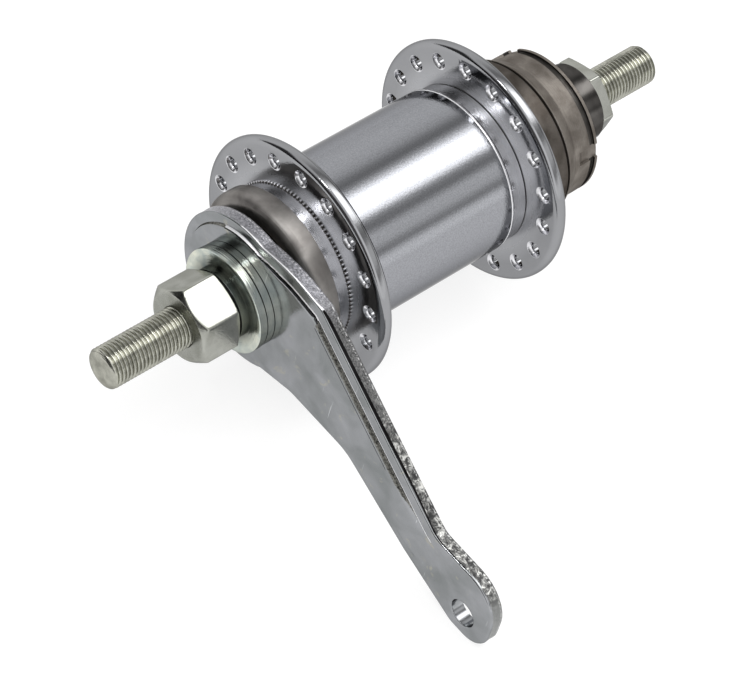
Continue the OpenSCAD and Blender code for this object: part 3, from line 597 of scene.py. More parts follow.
def makeThinNut():
    flat = nuts["flats"] / 2
    corner = flat / math.cos(math.radians(30)) + nuts["overhang"]
    back, front = thinNutFromY / mm, thinNutToY / mm
    bore, chamfer = nuts["bore"], nuts["boreChamfer"]
    profile = rounded([
        (bore, back), (bore, front - chamfer), (bore + chamfer, front, nuts["boreRound"]),
        (flat - thinNut["land"], front, thinNut["faceRound"]), (corner, front - thinNut["chamfer"]),
        (corner, back + thinNut["backChamfer"]), (flat + thinNut["backLand"], back, thinNut["backRound"])])
    profile = inMetres(densified(profile, thinNut["longest"]))
    bm = lathe(profile, evenAngles(nuts["columns"]), hexShape(thinNut["corner"]))
    newPiece("thin_locknut", bm, ["zinc_nut"], "axle_and_arm", ["locknut_drive_side"])


makeTallNut()
makeThinNut()
print("nuts made")


# Washers

dishedWasher = {"rimFlat": 0.6, "rimRound": 0.22, "rimInnerRound": 0.12, "dish": 0.45, "dishFoot": 8.75,
                "footRound": 0.1, "steps": (9.7, 10.6), "stepWidth": 0.08, "stepDepth": 0.05,
                "stepRound": 0.03, "backInset": 0.02, "backRound": 0.28}
plainWasher = {"edgeRound": 0.12, "seam": 0.11, "seamDepth": 0.1}
washers = {"bore": 4.95, "joinShift": 0.45}


def makeDishedWasher(back):
    r, front = dishedR / mm, dishedFromY / mm
    foot = dishedWasher["dishFoot"]
    rimInner = r - dishedWasher["rimFlat"] - dishedWasher["rimRound"]
    dishFloor = front + dishedWasher["dish"]
    slope = dishedWasher["dish"] / (rimInner - foot)
    corners = [(washers["bore"], back), (washers["bore"], dishFloor),
               (foot, dishFloor, dishedWasher["footRound"])]
    width, depth, stepRound = dishedWasher["stepWidth"], dishedWasher["stepDepth"], dishedWasher["stepRound"]
    for stepR in dishedWasher["steps"]:
        y = dishFloor - slope * (stepR - foot)
        corners += [(stepR, y, stepRound), (stepR + width, y - depth, stepRound)]
    corners += [(rimInner, front, dishedWasher["rimInnerRound"]), (r, front, dishedWasher["rimRound"]),
                (r, back - dishedWasher["backInset"], dishedWasher["backRound"])]
    bm = lathe(inMetres(rounded(corners)))
    newPiece("dished_washer_face", bm, ["zinc_washer"], "axle_and_arm", ["dished_washer"])


# The plain washer, with a painted shade line in the gaps where it meets its neighbours
def makePlainWasher(front):
    r, back, edgeRound = flatWasherR / mm, flatWasherToY / mm, plainWasher["edgeRound"]
    corners = [(washers["bore"], back), (washers["bore"], front), (r, front, edgeRound), (r, back, edgeRound)]
    bm = lathe(inMetres(rounded(corners)))
    finishes = ["zinc_washer", "painted_shade_line"]
    piece = newPiece("plain_washer", bm, finishes, "axle_and_arm", ["flat_washer"])
    for face in piece.data.polygons:
        y = face.center.y / mm
        outer = math.hypot(face.center.x, face.center.z) > (r - plainWasher["seamDepth"]) * mm
        if outer and min(y - front, back - y) < plainWasher["seam"]:
            face.material_index = 1


washerJoin = dishedToY / mm + washers["joinShift"]
makeDishedWasher(washerJoin)
makePlainWasher(washerJoin)
print("washers made")


# Brake arm

# shine, headShine and brightEdge are widths of painted highlight lines; edgeLine, thinLine, crease and the line
# a little inside the wall are painted shade
arm = {
    "headR": 18.7, "headSteps": 80, "frontY": -41.75, "panelRise": 0.6, "rampX": (54, 66), "grooveEnd": 3,
    "wallAtHead": (2.3, 2.6), "wallAlong": (2.9, 4.1), "alongX": (0, 12), "bendX": 22.4, "taperX": (52, 63),
    "shadeLine": (0.62, 0.78), "shadeLineToX": 50, "crease": 0.22, "middleX": 15, "middleZ": 4, "middleSlope": -0.45,
    "roll": 0.4, "rollY": 0.4, "deepRollY": 1.05, "rollUpX": (20, 25), "rollDownX": (56, 70), "tipRollY": 0.55,
    "shine": 0.22, "headShine": 0.2, "edgeLine": 0.12, "thinLine": 0.045, "thinX": (44, 62), "brightEdge": 0.1,
    "lineX": (-4, 76), "holeX": 79.2, "holeZ": -23.2, "holeR": 3.3, "holeSides": 48, "holeRound": 0.3,
    "boreR": 9.5, "boreSides": 64, "spacing": 0.6, "tear": 0.16, "tearScale": 0.9, "tearAcross": 1.3,
    "tearEnd": 1.1, "backInset": 0.12, "rows": 9}
armCorners = [
    (3, 18.5), (12, 19.9, 30), (22.4, 18.6, 3), (66.9, -10.3, 6), (87, -10.3, 9), (87, -29, 6),
    (76.9, -29, 5), (60, -22.9, 20), (38.4, -13.1, 12), (20, -13.1, 10), (10.4, -15.5)]

# Where the mesh of the arm's front has its points: lines inside the outline, rings round the hole and a grid
armMesh = {
    "lines": (0.02, 0.05, 0.08, 0.12, 0.2, 0.3, 0.4, 0.8, 1.4, 2.1, 2.3, 2.4, 2.5, 2.6, 2.75, 2.9, 3.1, 3.25,
              3.45, 3.65, 3.85, 4.1, 4.4, 4.7, 4.9, 5.3, 5.7),
    "lineSlack": 0.01, "lineClearOfHole": 0.35, "lineClearOfBore": 0.2, "holeRings": (3.36, 3.45, 3.6),
    "gridX": (-18, 87), "gridZ": (-29, 20), "gridStep": 2.0, "gridInset": 6.2, "gridClearOfHole": 0.7,
    "gridClearOfBore": 0.5, "holeShare": 0.998}
armHole = Vector((arm["holeX"], arm["holeZ"]))

# The arm's finishes in the order of its slots; the last two are painted highlight and painted shade
armFinishes = ["plated_arm", "sheared_edge", "arm_groove", "painted_highlight", "painted_shade_line"]
plating, cutEdge, tornSlope, paintedHighlight, paintedShade = range(5)


# The arm's outline in mm, with the round head on the side away from the tip
def armOutline():
    points = rounded(armCorners)
    start = math.atan2(points[-1].y, points[-1].x)
    end = math.atan2(points[0].y, points[0].x) - turn
    for k in range(1, arm["headSteps"]):
        a = start + (end - start) * k / arm["headSteps"]
        points.append(Vector((arm["headR"] * math.cos(a), arm["headR"] * math.sin(a))))
    return densified(points, arm["spacing"])


# Distance of each point to the closed outline
def distancesTo(points, outline):
    p = np.array([tuple(q) for q in points])[:, None, :]
    a = np.array([tuple(q) for q in outline])[None, :, :]
    b = np.roll(a, -1, axis=1)
    along = b - a
    share = np.clip(((p - a) * along).sum(2) / np.maximum((along ** 2).sum(2), 1e-12), 0, 1)
    return np.sqrt((((a + share[..., None] * along) - p) ** 2).sum(2)).min(1)


# Directions from the outline's points into the arm
def inwardNormals(outline):
    count = len(outline)
    area = sum(outline[i - 1].cross(outline[i]) for i in range(count))
    normals = []
    for i in range(count):
        along = (outline[(i + 1) % count] - outline[i - 1]).normalized()
        normals.append(Vector((along.y, -along.x)) * (-1 if area > 0 else 1))
    return normals


# Rises smoothly from 0 to 1 while the value goes from low to high
def smooth(value, low, high):
    t = min(max((value - low) / (high - low), 0.0), 1.0)
    return t * t * (3 - 2 * t)


def onUpperSide(x, z):
    return z > arm["middleZ"] + arm["middleSlope"] * (x - arm["middleX"])


# Distances from the outline at which the panel's wall starts and ends; a slope along the upper side
def wallAt(x, z):
    share = smooth(x, *arm["alongX"]) if onUpperSide(x, z) else 0.0
    return [a + (b - a) * share for a, b in zip(arm["wallAtHead"], arm["wallAlong"])]


# Height over which the front edge is rolled off, in mm
def rollAt(x, z):
    if not onUpperSide(x, z):
        return arm["rollY"]
    deep = arm["rollY"] + (arm["deepRollY"] - arm["rollY"]) * smooth(x, *arm["rollUpX"])
    return deep + (arm["tipRollY"] - deep) * smooth(x, *arm["rollDownX"])


# Height of the arm's front over its flat margin, in mm
def armHeight(distance, holeDistance, x, z):
    height = 0.0
    if distance < arm["roll"]:
        height = -rollAt(x, z) * (1 - math.sqrt(max(1 - (1 - distance / arm["roll"]) ** 2, 0)))
    height += arm["panelRise"] * (1 - smooth(x, *arm["rampX"])) * smooth(distance, *wallAt(x, z))
    edge = arm["holeRound"]
    if holeDistance < edge:
        height -= edge - math.sqrt(max(edge ** 2 - (edge - holeDistance) ** 2, 0))
    return height


# Which finish a face on the arm's front has: painted highlight along the front edge before the bend and beside
# the foot of the panel's wall, painted shade along the edge after the bend, in the wall's creases and in a line
# a little inside the wall
def armFace(depth, x, z):
    wallFrom, wallTo = wallAt(x, z)
    if not onUpperSide(x, z):
        onWall = wallFrom < depth < wallTo and x < arm["rampX"][1] - arm["grooveEnd"]
        return tornSlope if onWall else plating
    beforeBend = x < arm["bendX"]
    lineDepth = arm["edgeLine"] + (arm["thinLine"] - arm["edgeLine"]) * smooth(x, *arm["thinX"])
    lineFromX, lineToX = arm["lineX"]
    if not beforeBend and x < lineToX and depth < lineDepth:
        return paintedShade
    if beforeBend and x > lineFromX and depth < arm["brightEdge"]:
        return paintedHighlight
    if wallFrom - arm["shine"] < depth <= wallFrom and x < arm["rampX"][1]:
        return paintedHighlight
    into = depth - wallFrom
    if beforeBend:
        if 0 < into < arm["headShine"]:
            return paintedHighlight
        return paintedShade if arm["headShine"] < into < arm["headShine"] + arm["crease"] else plating
    taper = 1 - smooth(x, *arm["taperX"])
    if 0 < into < (wallTo - wallFrom) * taper:
        return paintedShade if into < arm["crease"] * taper else tornSlope
    onShadeLine = arm["shadeLine"][0] < depth - wallTo < arm["shadeLine"][1] and x < arm["shadeLineToX"]
    return paintedShade if onShadeLine else plating


def ringOf(radius, count, x=0, z=0):
    return [Vector(p) for p in circle(radius, count, x, z)]


# Points and edges, in the arm's plane, of the drawing that its front is meshed from
def armDrawing(outline, normals, hole, bore):
    flat, edges = [], []
    for ring in (outline, hole, bore):
        addRing(flat, edges, ring)
    for offset in armMesh["lines"]:
        moved = [p + n * offset for p, n in zip(outline, normals)]
        places = {}
        for i, (p, away) in enumerate(zip(moved, distancesTo(moved, outline))):
            clearOfHole = (p - armHole).length >= arm["holeR"] + armMesh["lineClearOfHole"]
            clearOfBore = p.length > arm["boreR"] + armMesh["lineClearOfBore"]
            if away > offset - armMesh["lineSlack"] and clearOfHole and clearOfBore:
                places[i] = len(flat)
                flat.append(p)
        for i, place in places.items():
            following = (i + 1) % len(outline)
            if following in places:
                edges.append((place, places[following]))
    for ringR in armMesh["holeRings"]:
        addRing(flat, edges, ringOf(ringR, arm["holeSides"], arm["holeX"], arm["holeZ"]))
    polygon = [tuple(p) for p in outline]
    step = armMesh["gridStep"]
    gridX, gridZ = np.arange(*armMesh["gridX"], step), np.arange(*armMesh["gridZ"], step)
    grid = [Vector((x, z)) for x in gridX for z in gridZ]
    for p, depth in zip(grid, distancesTo(grid, outline)):
        clearOfHole = (p - armHole).length > arm["holeR"] + armMesh["gridClearOfHole"]
        clearOfBore = p.length > arm["boreR"] + armMesh["gridClearOfBore"]
        if clearOfHole and clearOfBore and depth > armMesh["gridInset"] and inside(p, polygon):
            flat.append(p)
    return flat, edges


# The arm's front; returns the vertices along the outline, the hole and the bore
def armFront(bm, outline, normals, hole, bore):
    flat, edges = armDrawing(outline, normals, hole, bore)
    verts, _, faces, origins, _, _ = delaunay_2d_cdt(flat, edges, [], 1, 1e-6)
    made = []
    for v, away in zip(verts, distancesTo(verts, outline)):
        height = armHeight(away, (v - armHole).length - arm["holeR"], v.x, v.y)
        made.append(bm.verts.new((v.x * mm, max((arm["frontY"] - height) * mm, armPanelY), v.y * mm)))
    centres = [middleOf([verts[i] for i in face]) for face in faces]
    for face, centre, depth in zip(faces, centres, distancesTo(centres, outline)):
        if centre.length > arm["boreR"] and (centre - armHole).length > arm["holeR"] * armMesh["holeShare"]:
            skin = bm.faces.new([made[i] for i in face])
            skin.material_index = armFace(depth, centre.x, centre.y)
    vertexOf = {k: made[i] for i, origin in enumerate(origins) for k in origin}
    ends = np.cumsum([0, len(outline), len(hole), len(bore)])
    return [[vertexOf[k] for k in range(a, b)] for a, b in zip(ends, ends[1:])]


# Rows of vertices down the cut edge, from under the front's roll to the back, with torn grain
def cutRows(bm, outline, normals):
    backY = armBackY / mm
    rows = []
    for row in range(1, arm["rows"] + 1):
        share = row / arm["rows"]
        loop = []
        for p, normal in zip(outline, normals):
            frontY = arm["frontY"] + rollAt(p.x, p.y)
            y = frontY + (backY - frontY) * share
            grain = Vector((p.x * arm["tearScale"], p.y * arm["tearScale"], y * arm["tearAcross"]))
            torn = noise.noise(grain) * 0.5 + 0.5
            depth = arm["tear"] * torn * math.sin(math.pi * min(share * arm["tearEnd"], 1))
            if row == arm["rows"]:
                depth += arm["backInset"]
            q = p + normal * depth
            loop.append(bm.verts.new((q.x * mm, y * mm, q.y * mm)))
        rows.append(loop)
    return rows


def makeArm():
    outline = armOutline()
    normals = inwardNormals(outline)
    hole = ringOf(arm["holeR"], arm["holeSides"], arm["holeX"], arm["holeZ"])
    bore = ringOf(arm["boreR"], arm["boreSides"])
    bm = bmesh.new()
    rim, holeRim, boreRim = armFront(bm, outline, normals, hole, bore)
    rows = [rim] + cutRows(bm, outline, normals)
    for a, b in zip(rows, rows[1:]):
        for face in bridged(bm, a, b):
            face.material_index = cutEdge
    holeBack, boreBack = [addLoop(bm, inMetres(loop), armBackY) for loop in (hole, bore)]
    bridged(bm, holeRim, holeBack)
    bridged(bm, boreRim, boreBack)
    filled(bm, [rows[-1], holeBack, boreBack], armBackY)
    newPiece("pressed_arm", bm, armFinishes, "axle_and_arm", ["brake_arm"])


makeArm()
print("arm made")


# Spoke flanges

# Every spoke hole has the same sink on both faces, through rings of (radius, depth)
flange = {"innerR": 18.8, "rimRound": 1.45, "rimSteps": 9, "pcd": 49.3, "holes": 18, "firstAngle": 18.1,
          "sink": [(2.05, 0), (1.98, 0.03), (1.87, 0.1), (1.4, 0.68), (1.35, 0.78)],
          "columns": 192, "holeColumns": 28}


# The first and the last loop of a spoke hole's sink
def sunkHole(bm, angle, faceY, inward):
    circleR = flange["pcd"] / 2 * mm
    x, z = circleR * math.cos(angle), circleR * math.sin(angle)
    loops = []
    for r, depth in flange["sink"]:
        loops.append(addLoop(bm, circle(r * mm, flange["holeColumns"], x, z), faceY + inward * depth * mm))
    for a, b in zip(loops, loops[1:]):
        for face in bridged(bm, a, b):
            face.material_index = 1
    return loops[0], loops[-1]


# One face of a flange; returns the loops of its outer edge and its bore, and those at the bottom of its sinks
def flangeFace(bm, faceY, inward, firstAngle):
    holes = []
    for k in range(flange["holes"]):
        angle = math.radians(firstAngle + 360 / flange["holes"] * k)
        holes.append(sunkHole(bm, angle, faceY, inward))
    edge = addLoop(bm, circle(flangeR - flange["rimRound"] * mm, flange["columns"]), faceY)
    bore = addLoop(bm, circle(flange["innerR"] * mm, flange["columns"]), faceY)
    filled(bm, [edge, bore] + [mouth for mouth, _ in holes], faceY)
    return edge, bore, [bottom for _, bottom in holes]


def makeFlange(name, fromY, toY, firstAngle, node):
    bm = bmesh.new()
    nearEdge, nearBore, nearBottoms = flangeFace(bm, fromY, 1, firstAngle)
    farEdge, farBore, farBottoms = flangeFace(bm, toY, -1, firstAngle)
    for near, far in zip(nearBottoms, farBottoms):
        bridged(bm, near, far)
    bridged(bm, nearBore, farBore)
    rimRound, steps = flange["rimRound"] * mm, flange["rimSteps"]
    arc = [(fromY + rimRound, 90 * k / steps - 90) for k in range(1, steps + 1)]
    arc += [(toY - rimRound, 90 * k / steps) for k in range(steps)]
    loops = [nearEdge]
    for middleY, degrees in arc:
        a = math.radians(degrees)
        r = flangeR - rimRound + rimRound * math.cos(a)
        loops.append(addLoop(bm, circle(r, flange["columns"]), middleY + rimRound * math.sin(a)))
    loops.append(farEdge)
    for a, b in zip(loops, loops[1:]):
        bridged(bm, a, b)
    newPiece(name, bm, ["chrome_flange", "band_chrome"], "hub_shell", [node])


halfStep = 180 / flange["holes"]
makeFlange("near_flange", nearFlangeFromY, nearFlangeToY, flange["firstAngle"], "flange_brake_side")
makeFlange("far_flange", farFlangeFromY, farFlangeToY, flange["firstAngle"] + halfStep, "flange_drive_side")
print("flanges made")


# Barrel with the ring of fine teeth behind the brake-side flange

barrel = {"bore": 16.6, "bandR": 18.8, "endRounds": (0.15, 0.1), "footDrop": 0.25, "footY": 0.35,
          "shoulderY": 0.7, "footRounds": (0.1, 0.2), "lineY": 19.15, "line": (-0.25, -0.1, 0.1),
          "lineDepth": 0.09, "lineRound": 0.05, "lineShine": (-0.2, 0.1), "collarR": 19.1, "collarY": 20.15,
          "collarRise": 0.6, "collarRound": 0.12, "seam": 0.2, "columns": 192}
knurl = {"teeth": 114, "height": 0.5, "width": 0.5, "sink": 0.1, "foot": 0.04, "slope": 0.15, "land": 0.1,
         "darkShare": 0.45, "columnsPerTooth": 8}


def makeBarrel():
    start, end = barrelFromY / mm, barrelToY / mm
    near, far = nearFlangeToY / mm, farFlangeFromY / mm
    r, bore, bandR = barrelR / mm, barrel["bore"], barrel["bandR"]
    foot, footRounds = r - barrel["footDrop"], barrel["footRounds"]
    lineY, lineRound = barrel["lineY"], barrel["lineRound"]
    lineFrom, lineMiddle, lineTo = [lineY + y for y in barrel["line"]]
    collarR, collarY, collarRound = barrel["collarR"], barrel["collarY"], barrel["collarRound"]
    seam = barrel["seam"]
    profile = rounded([
        (bore, start), (bandR, start, barrel["endRounds"][0]), (bandR, near), (foot, near),
        (foot, near + barrel["footY"], footRounds[0]), (r, near + barrel["shoulderY"], footRounds[1]),
        (r, lineFrom, lineRound), (r - barrel["lineDepth"], lineMiddle, lineRound), (r, lineTo, lineRound),
        (r, collarY - barrel["collarRise"], collarRound), (collarR, collarY, collarRound),
        (collarR, far - seam), (collarR - seam, far), (bandR, far),
        (bandR, end, barrel["endRounds"][1]), (bore, end)])
    bm = lathe(inMetres(profile), evenAngles(barrel["columns"]))
    finishes = ["chrome_barrel", "band_chrome", "painted_highlight", "shield_steel"]
    piece = newPiece("barrel", bm, finishes, "hub_shell", ["hub_barrel"])
    # The seam by the far flange is painted shade, and the faces along the line are painted highlight
    shineFrom, shineTo = barrel["lineShine"]
    for face in piece.data.polygons:
        y = face.center.y
        if -seam < y / mm - far < 0:
            face.material_index = 3
        elif y < nearFlangeFromY or y > lineTo * mm:
            face.material_index = 1
        elif shineFrom < y / mm - lineY < shineTo:
            face.material_index = 2


def makeKnurl():
    bandR, height = barrel["bandR"], knurl["height"]
    inner, foot, outer = bandR - knurl["sink"], bandR + knurl["foot"], bandR + height
    front = nearFlangeFromY / mm
    back = front - knurl["width"]
    profile = [(inner, front), (inner, back), (foot, back), (outer, back + knurl["slope"]),
               (outer, front - knurl["land"]), (outer, front)]

    def toothed(r, y, angle):
        if r > foot * mm:
            r -= height * mm * 0.5 * (1 + math.cos(angle * knurl["teeth"]))
        return r, y

    bm = lathe(inMetres(profile), evenAngles(knurl["teeth"] * knurl["columnsPerTooth"]), toothed)
    piece = newPiece("flange_knurl", bm, ["band_chrome", "shield_steel"], "hub_shell")
    # The lower part of the teeth and the ring under them are painted shade between the teeth
    for face in piece.data.polygons:
        if math.hypot(face.center.x, face.center.z) < (bandR + knurl["darkShare"] * height) * mm:
            face.material_index = 1


makeBarrel()
makeKnurl()
print("barrel made")


# Bearing cups

brakeCup = {"bore": 15.2, "boreY": 2.0, "mouthR": 15.74, "mouthY": 1.4, "mouthRounds": (0.2, 0.15),
            "frontRound": 3.0, "footR": 18.8, "footY": 0.55, "footRounds": (0.1, 0.05)}
driveCup = {"bore": 15.9, "boreY": 3.2, "mouthR": 17.5, "mouthY": 3, "mouthRound": 0.1, "backRound": 0.2,
            "frontRound": 0.3, "groove": (3.9, 4.05, 4.2), "grooveDepth": 0.12, "grooveRound": 0.08}


def makeBrakeCup():
    r, front, back = brakeCupR / mm, brakeCupFromY / mm, barrelFromY / mm
    bore, mouthR = brakeCup["bore"], brakeCup["mouthR"]
    mouthRounds, footRounds = brakeCup["mouthRounds"], brakeCup["footRounds"]
    profile = rounded([
        (bore, back), (bore, front + brakeCup["boreY"]), (mouthR, front + brakeCup["mouthY"], mouthRounds[0]),
        (mouthR, front, mouthRounds[1]), (r, front, brakeCup["frontRound"]),
        (r, back - brakeCup["footY"], footRounds[0]), (brakeCup["footR"], back, footRounds[1])])
    bm = lathe(inMetres(profile), evenAngles(barrel["columns"]))
    newPiece("brake_cup", bm, ["cup_steel"], "hub_shell", ["bearing_cup_brake_side"])


def makeDriveCup():
    r, back, front = driveCupR / mm, barrelToY / mm, driveCupToY / mm
    bore, mouthR, grooveRound = driveCup["bore"], driveCup["mouthR"], driveCup["grooveRound"]
    grooveFrom, grooveMiddle, grooveTo = [back + y for y in driveCup["groove"]]
    profile = rounded([
        (bore, back), (r, back, driveCup["backRound"]), (r, grooveFrom, grooveRound),
        (r - driveCup["grooveDepth"], grooveMiddle, grooveRound), (r, grooveTo, grooveRound),
        (r, front, driveCup["frontRound"]), (mouthR, front, driveCup["mouthRound"]),
        (mouthR, front - driveCup["mouthY"]), (bore, front - driveCup["boreY"])])
    bm = lathe(inMetres(profile), evenAngles(barrel["columns"]))
    newPiece("drive_cup", bm, ["dark_cup"], "hub_shell", ["bearing_cup_drive_side"])


makeBrakeCup()
makeDriveCup()
print("cups made")


# Driver and the cap in its mouth

driver = {"bore": 13, "rimY": 37.25, "rimWidth": 1.6, "rimDepth": 0.7, "rimRound": 0.12, "seatR": 17.35,
          "seatY": 40.65, "seatRounds": (0.3, 0.12), "grooveR": 16.7, "grooveY": 45.15, "grooveRound": 0.1,
          "lipY": 46.6, "lipRounds": (0.1, 0.25), "mouthR": 14.8, "mouthRound": 0.2, "mouthDepth": 1.2,
          "notches": 3, "firstNotch": 20.4, "notchHalf": 1.75, "notchR": 16.7, "notchY": 42.4,
          "notchSteps": (-0.004, -0.001, 0.001, 0.004, 0.01), "darkR": (15, 17.3), "darkMargin": 0.1,
          "columns": 180, "longest": 0.7}
driverCap = {"clearOfCone": 0.35, "clearOfMouth": 0.02, "backDepth": 0.75, "mouthDepth": 0.12,
             "mouthRound": 0.15, "crestWidth": 0.9, "crestDepth": 0.05, "dishWidth": 1.3, "dishDepth": 0.4,
             "dishRound": 0.3, "innerRound": 0.1}
notchTurn = 360 / driver["notches"]
notchMiddles = [math.radians(driver["firstNotch"] + notchTurn * k) for k in range(driver["notches"])]


# The turn from an angle to the middle of the nearest notch
def toNotch(angle):
    return min(abs((angle - middle + math.pi) % turn - math.pi) for middle in notchMiddles)


# Angles of the driver's mesh, with more of them at the edges of the notches
def driverAngles(half):
    angles = set(round(a, 6) for a in evenAngles(driver["columns"]))
    for middle in notchMiddles:
        for side in (-1, 1):
            for step in driver["notchSteps"]:
                angles.add(round((middle + side * (half + step)) % turn, 6))
    return sorted(angles)


def makeDriver():
    end, rim = driverToY / mm, driverRimR / mm
    bore, rimY, seat, mouthR = driver["bore"], driver["rimY"], driver["seatR"], driver["mouthR"]
    grooveR, grooveY, grooveRound = driver["grooveR"], driver["grooveY"], driver["grooveRound"]
    seatRounds, lipY, lipRounds = driver["seatRounds"], driver["lipY"], driver["lipRounds"]
    profile = rounded([
        (bore, rimY - driver["rimDepth"]), (rim - driver["rimWidth"], rimY - driver["rimDepth"]),
        (rim - driver["rimWidth"], rimY), (rim, rimY, driver["rimRound"]),
        (seat, driver["seatY"], seatRounds[0]), (seat, grooveY, seatRounds[1]), (grooveR, grooveY, grooveRound),
        (grooveR, lipY, grooveRound), (seat, lipY, lipRounds[0]), (seat, end, lipRounds[1]),
        (mouthR, end, driver["mouthRound"]), (mouthR, end - driver["mouthDepth"]),
        (bore, end - driver["mouthDepth"])])
    profile = inMetres(densified(profile, driver["longest"]))
    half = math.asin(driver["notchHalf"] / seat)

    def notched(r, y, angle):
        if toNotch(angle) < half and y > driver["notchY"] * mm and r > driver["notchR"] * mm:
            r = driver["notchR"] * mm
        return r, y

    bm = lathe(profile, driverAngles(half), notched)
    piece = newPiece("driver_body", bm, ["bare_steel", "shield_steel"], "driver", ["driver"])
    margin = driver["darkMargin"]
    darkFrom, darkTo = driver["darkR"]
    for face in piece.data.polygons:
        x, y, z = face.center / mm
        if grooveY - margin < y < lipY + margin and darkFrom < math.hypot(x, z) < darkTo:
            face.material_index = int(toNotch(math.atan2(z, x)) > driver["notchHalf"] / seat)


def makeDriverCap():
    end, mouthR = driverToY / mm, driver["mouthR"]
    inner, outer = coneR / mm + driverCap["clearOfCone"], mouthR - driverCap["clearOfMouth"]
    back, dish, dishRound = end - driverCap["backDepth"], end - driverCap["dishDepth"], driverCap["dishRound"]
    bm = lathe(inMetres(rounded([
        (inner, back), (outer, back), (outer, end - driverCap["mouthDepth"], driverCap["mouthRound"]),
        (mouthR - driverCap["crestWidth"], end - driverCap["crestDepth"], dishRound),
        (mouthR - driverCap["dishWidth"], dish, dishRound), (inner, dish, driverCap["innerRound"])])))
    newPiece("driver_cap", bm, ["shield_steel"], "driver", ["driver_dust_cap"])


makeDriver()
makeDriverCap()
print("driver made")


# CAD pieces that keep their own shape

slotOf = {part["node"]: part["material_slot"] for part in frame["record"]["subparts"]}
for node, piece in frame["nodes"].items():
    piece.data.materials.clear()
    piece.data.materials.append(materials[slotOf[node]])
    piece.data.shade_smooth()
    piece.data.set_sharp_from_angle(angle=math.radians(meshing["cadSharpDegrees"]))
print("inner pieces dressed")


# Camera

camera = {"place": (0.2793, -0.3749, 0.5532), "right": (0.64204, 0.746, 0.17685),
          "up": (-0.67589, 0.44186, 0.5899), "back": (0.36192, -0.49824, 0.7879), "lens": 159.49,
          "sensor": 36.0, "nearest": 0.01}


def placeCamera():
    data = bpy.data.cameras.new("camera")
    data.lens = camera["lens"]
    data.sensor_width = camera["sensor"]
    data.sensor_fit = "HORIZONTAL"
    data.clip_start = camera["nearest"]
    view = bpy.data.objects.new("camera", data)
    turned = Matrix((camera["right"], camera["up"], camera["back"])).transposed()
    view.matrix_world = Matrix.Translation(camera["place"]) @ turned.to_4x4()
    bpy.context.scene.collection.objects.link(view)
    bpy.context.scene.camera = view


placeCamera()
print("camera placed")


# Floor, world and lamp

# Levels of light by the angle about the axle, by the share along it, and about it for what faces the arm's side
studio = {
    "aboutAxle": [(-180, 1.0), (-100, 0.6), (-20, 1.0), (0, 1.3), (8, 1.3), (13, 0.9), (18, 0.45), (23, 0.6),
                  (30, 0.95), (42, 1.0), (47, 0.65), (52, 0.38), (59, 0.5), (64, 0.9), (69, 2.5), (75, 3.5),
                  (94, 3.5), (101, 1.8), (107, 0.75), (114, 0.33), (121, 0.42), (130, 0.75), (140, 0.92),
                  (155, 1.0), (180, 1.02)],
    "alongAxle": [(-1.0, 0.1), (-0.78, 0.12), (-0.68, 0.9), (-0.6, 1.0), (0.7, 1.0), (0.8, 0.6), (0.9, 0.6),
                  (1.0, 0.8)],
    "facingArm": [(-180, 0.06), (-173, 0.06), (-166, 0.9), (-30, 1.0), (0, 1.4), (60, 1.4), (85, 0.95),
                  (100, 0.85), (144, 0.85), (152, 0.06), (180, 0.06)],
    "toFacing": (-0.15, -0.35), "floorSize": 3.0, "floorColour": 0.26, "floorRough": 0.9, "floorGlow": 0.8,
    "key": {"place": (-0.25, -0.5, 0.8), "size": 0.12, "power": 0.8}}


# Stops of grey for places from -reach to reach
def greyStops(levels, reach, brightest):
    return [((place + reach) / (2 * reach), (level / brightest,) * 3) for place, level in levels]


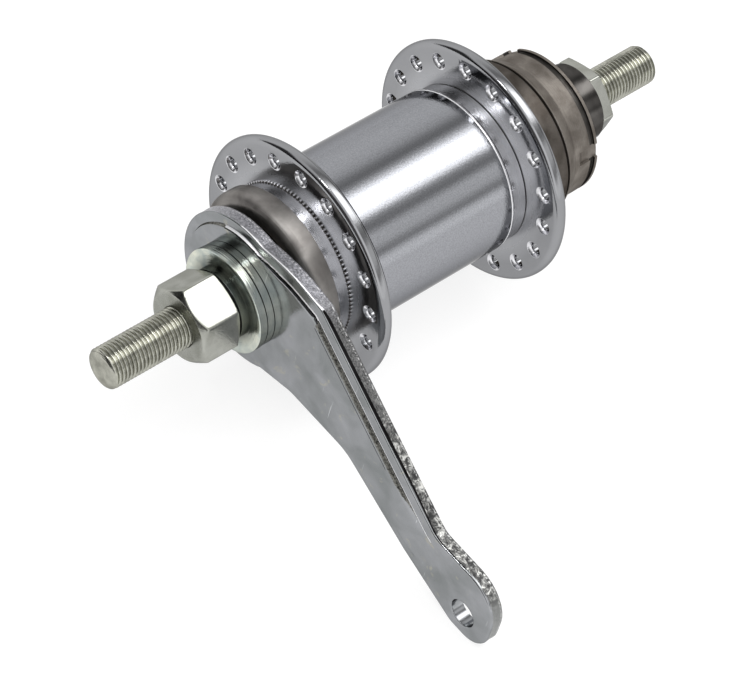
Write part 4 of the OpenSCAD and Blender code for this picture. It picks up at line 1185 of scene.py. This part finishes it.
def makeWorld():
    world = bpy.data.worlds.new("studio")
    bpy.context.scene.world = world
    world.use_nodes = True
    tree = world.node_tree
    tree.nodes.clear()
    apart = separated(tree, addNode(tree, "ShaderNodeTexCoord").outputs["Generated"])
    about = mapped(tree, combined(tree, "ARCTAN2", apart["Z"], apart["X"]), -math.pi, math.pi, 0, 1)
    along = mapped(tree, apart["Y"], -1, 1, 0, 1)
    brightest = max(level for _, level in studio["aboutAxle"])
    bands = ramp(tree, about, greyStops(studio["aboutAxle"], 180, brightest))
    facing = ramp(tree, about, greyStops(studio["facingArm"], 180, brightest))
    cards = ramp(tree, along, greyStops(studio["alongAxle"], 1, 1))
    bands = mixed(tree, mapped(tree, apart["Y"], *studio["toFacing"], 0, 1), bands, facing)
    light = mixed(tree, 1.0, bands, cards, "MULTIPLY")
    background = addNode(tree, "ShaderNodeBackground", {"Color": light, "Strength": brightest})
    addNode(tree, "ShaderNodeOutputWorld", {"Surface": background.outputs[0]})


# A grey floor that takes shadows and that the camera sees as white
def makeFloor():
    bm = bmesh.new()
    half = studio["floorSize"] / 2
    corners = [bm.verts.new((x * half, y * half, floorZ)) for x, y in ((-1, -1), (1, -1), (1, 1), (-1, 1))]
    bm.faces.new(corners)
    mesh = bpy.data.meshes.new("floor")
    bm.to_mesh(mesh)
    bm.free()
    material, tree, shader = makeMaterial("floor_white")
    grey = studio["floorColour"]
    shader.inputs["Base Color"].default_value = (grey, grey, grey, 1)
    shader.inputs["Roughness"].default_value = studio["floorRough"]
    shader.inputs["Specular IOR Level"].default_value = 0.0
    path = addNode(tree, "ShaderNodeLightPath").outputs
    seen = path["Is Camera Ray"]
    for ray in ("Is Glossy Ray", "Is Transmission Ray"):
        seen = combined(tree, "MAXIMUM", seen, path[ray])
    glow = combined(tree, "MULTIPLY", seen, studio["floorGlow"])
    white = addNode(tree, "ShaderNodeEmission", {"Color": (1, 1, 1, 1), "Strength": glow})
    both = addNode(tree, "ShaderNodeAddShader", {0: shader.outputs[0], 1: white.outputs[0]})
    tree.links.new(both.outputs[0], tree.nodes["Material Output"].inputs["Surface"])
    mesh.materials.append(material)
    floor = bpy.data.objects.new("floor", mesh)
    bpy.context.scene.collection.objects.link(floor)


def makeLamp(name, look):
    data = bpy.data.lights.new(name, "AREA")
    data.shape = "DISK"
    data.size = look["size"]
    data.energy = look["power"]
    lamp = bpy.data.objects.new(name, data)
    lamp.location = look["place"]
    lamp.rotation_euler = (-Vector(look["place"])).to_track_quat("-Z", "Y").to_euler()
    bpy.context.scene.collection.objects.link(lamp)


makeWorld()
makeFloor()
makeLamp("key", studio["key"])
bpy.context.scene.view_settings.view_transform = "Standard"
print("studio made")
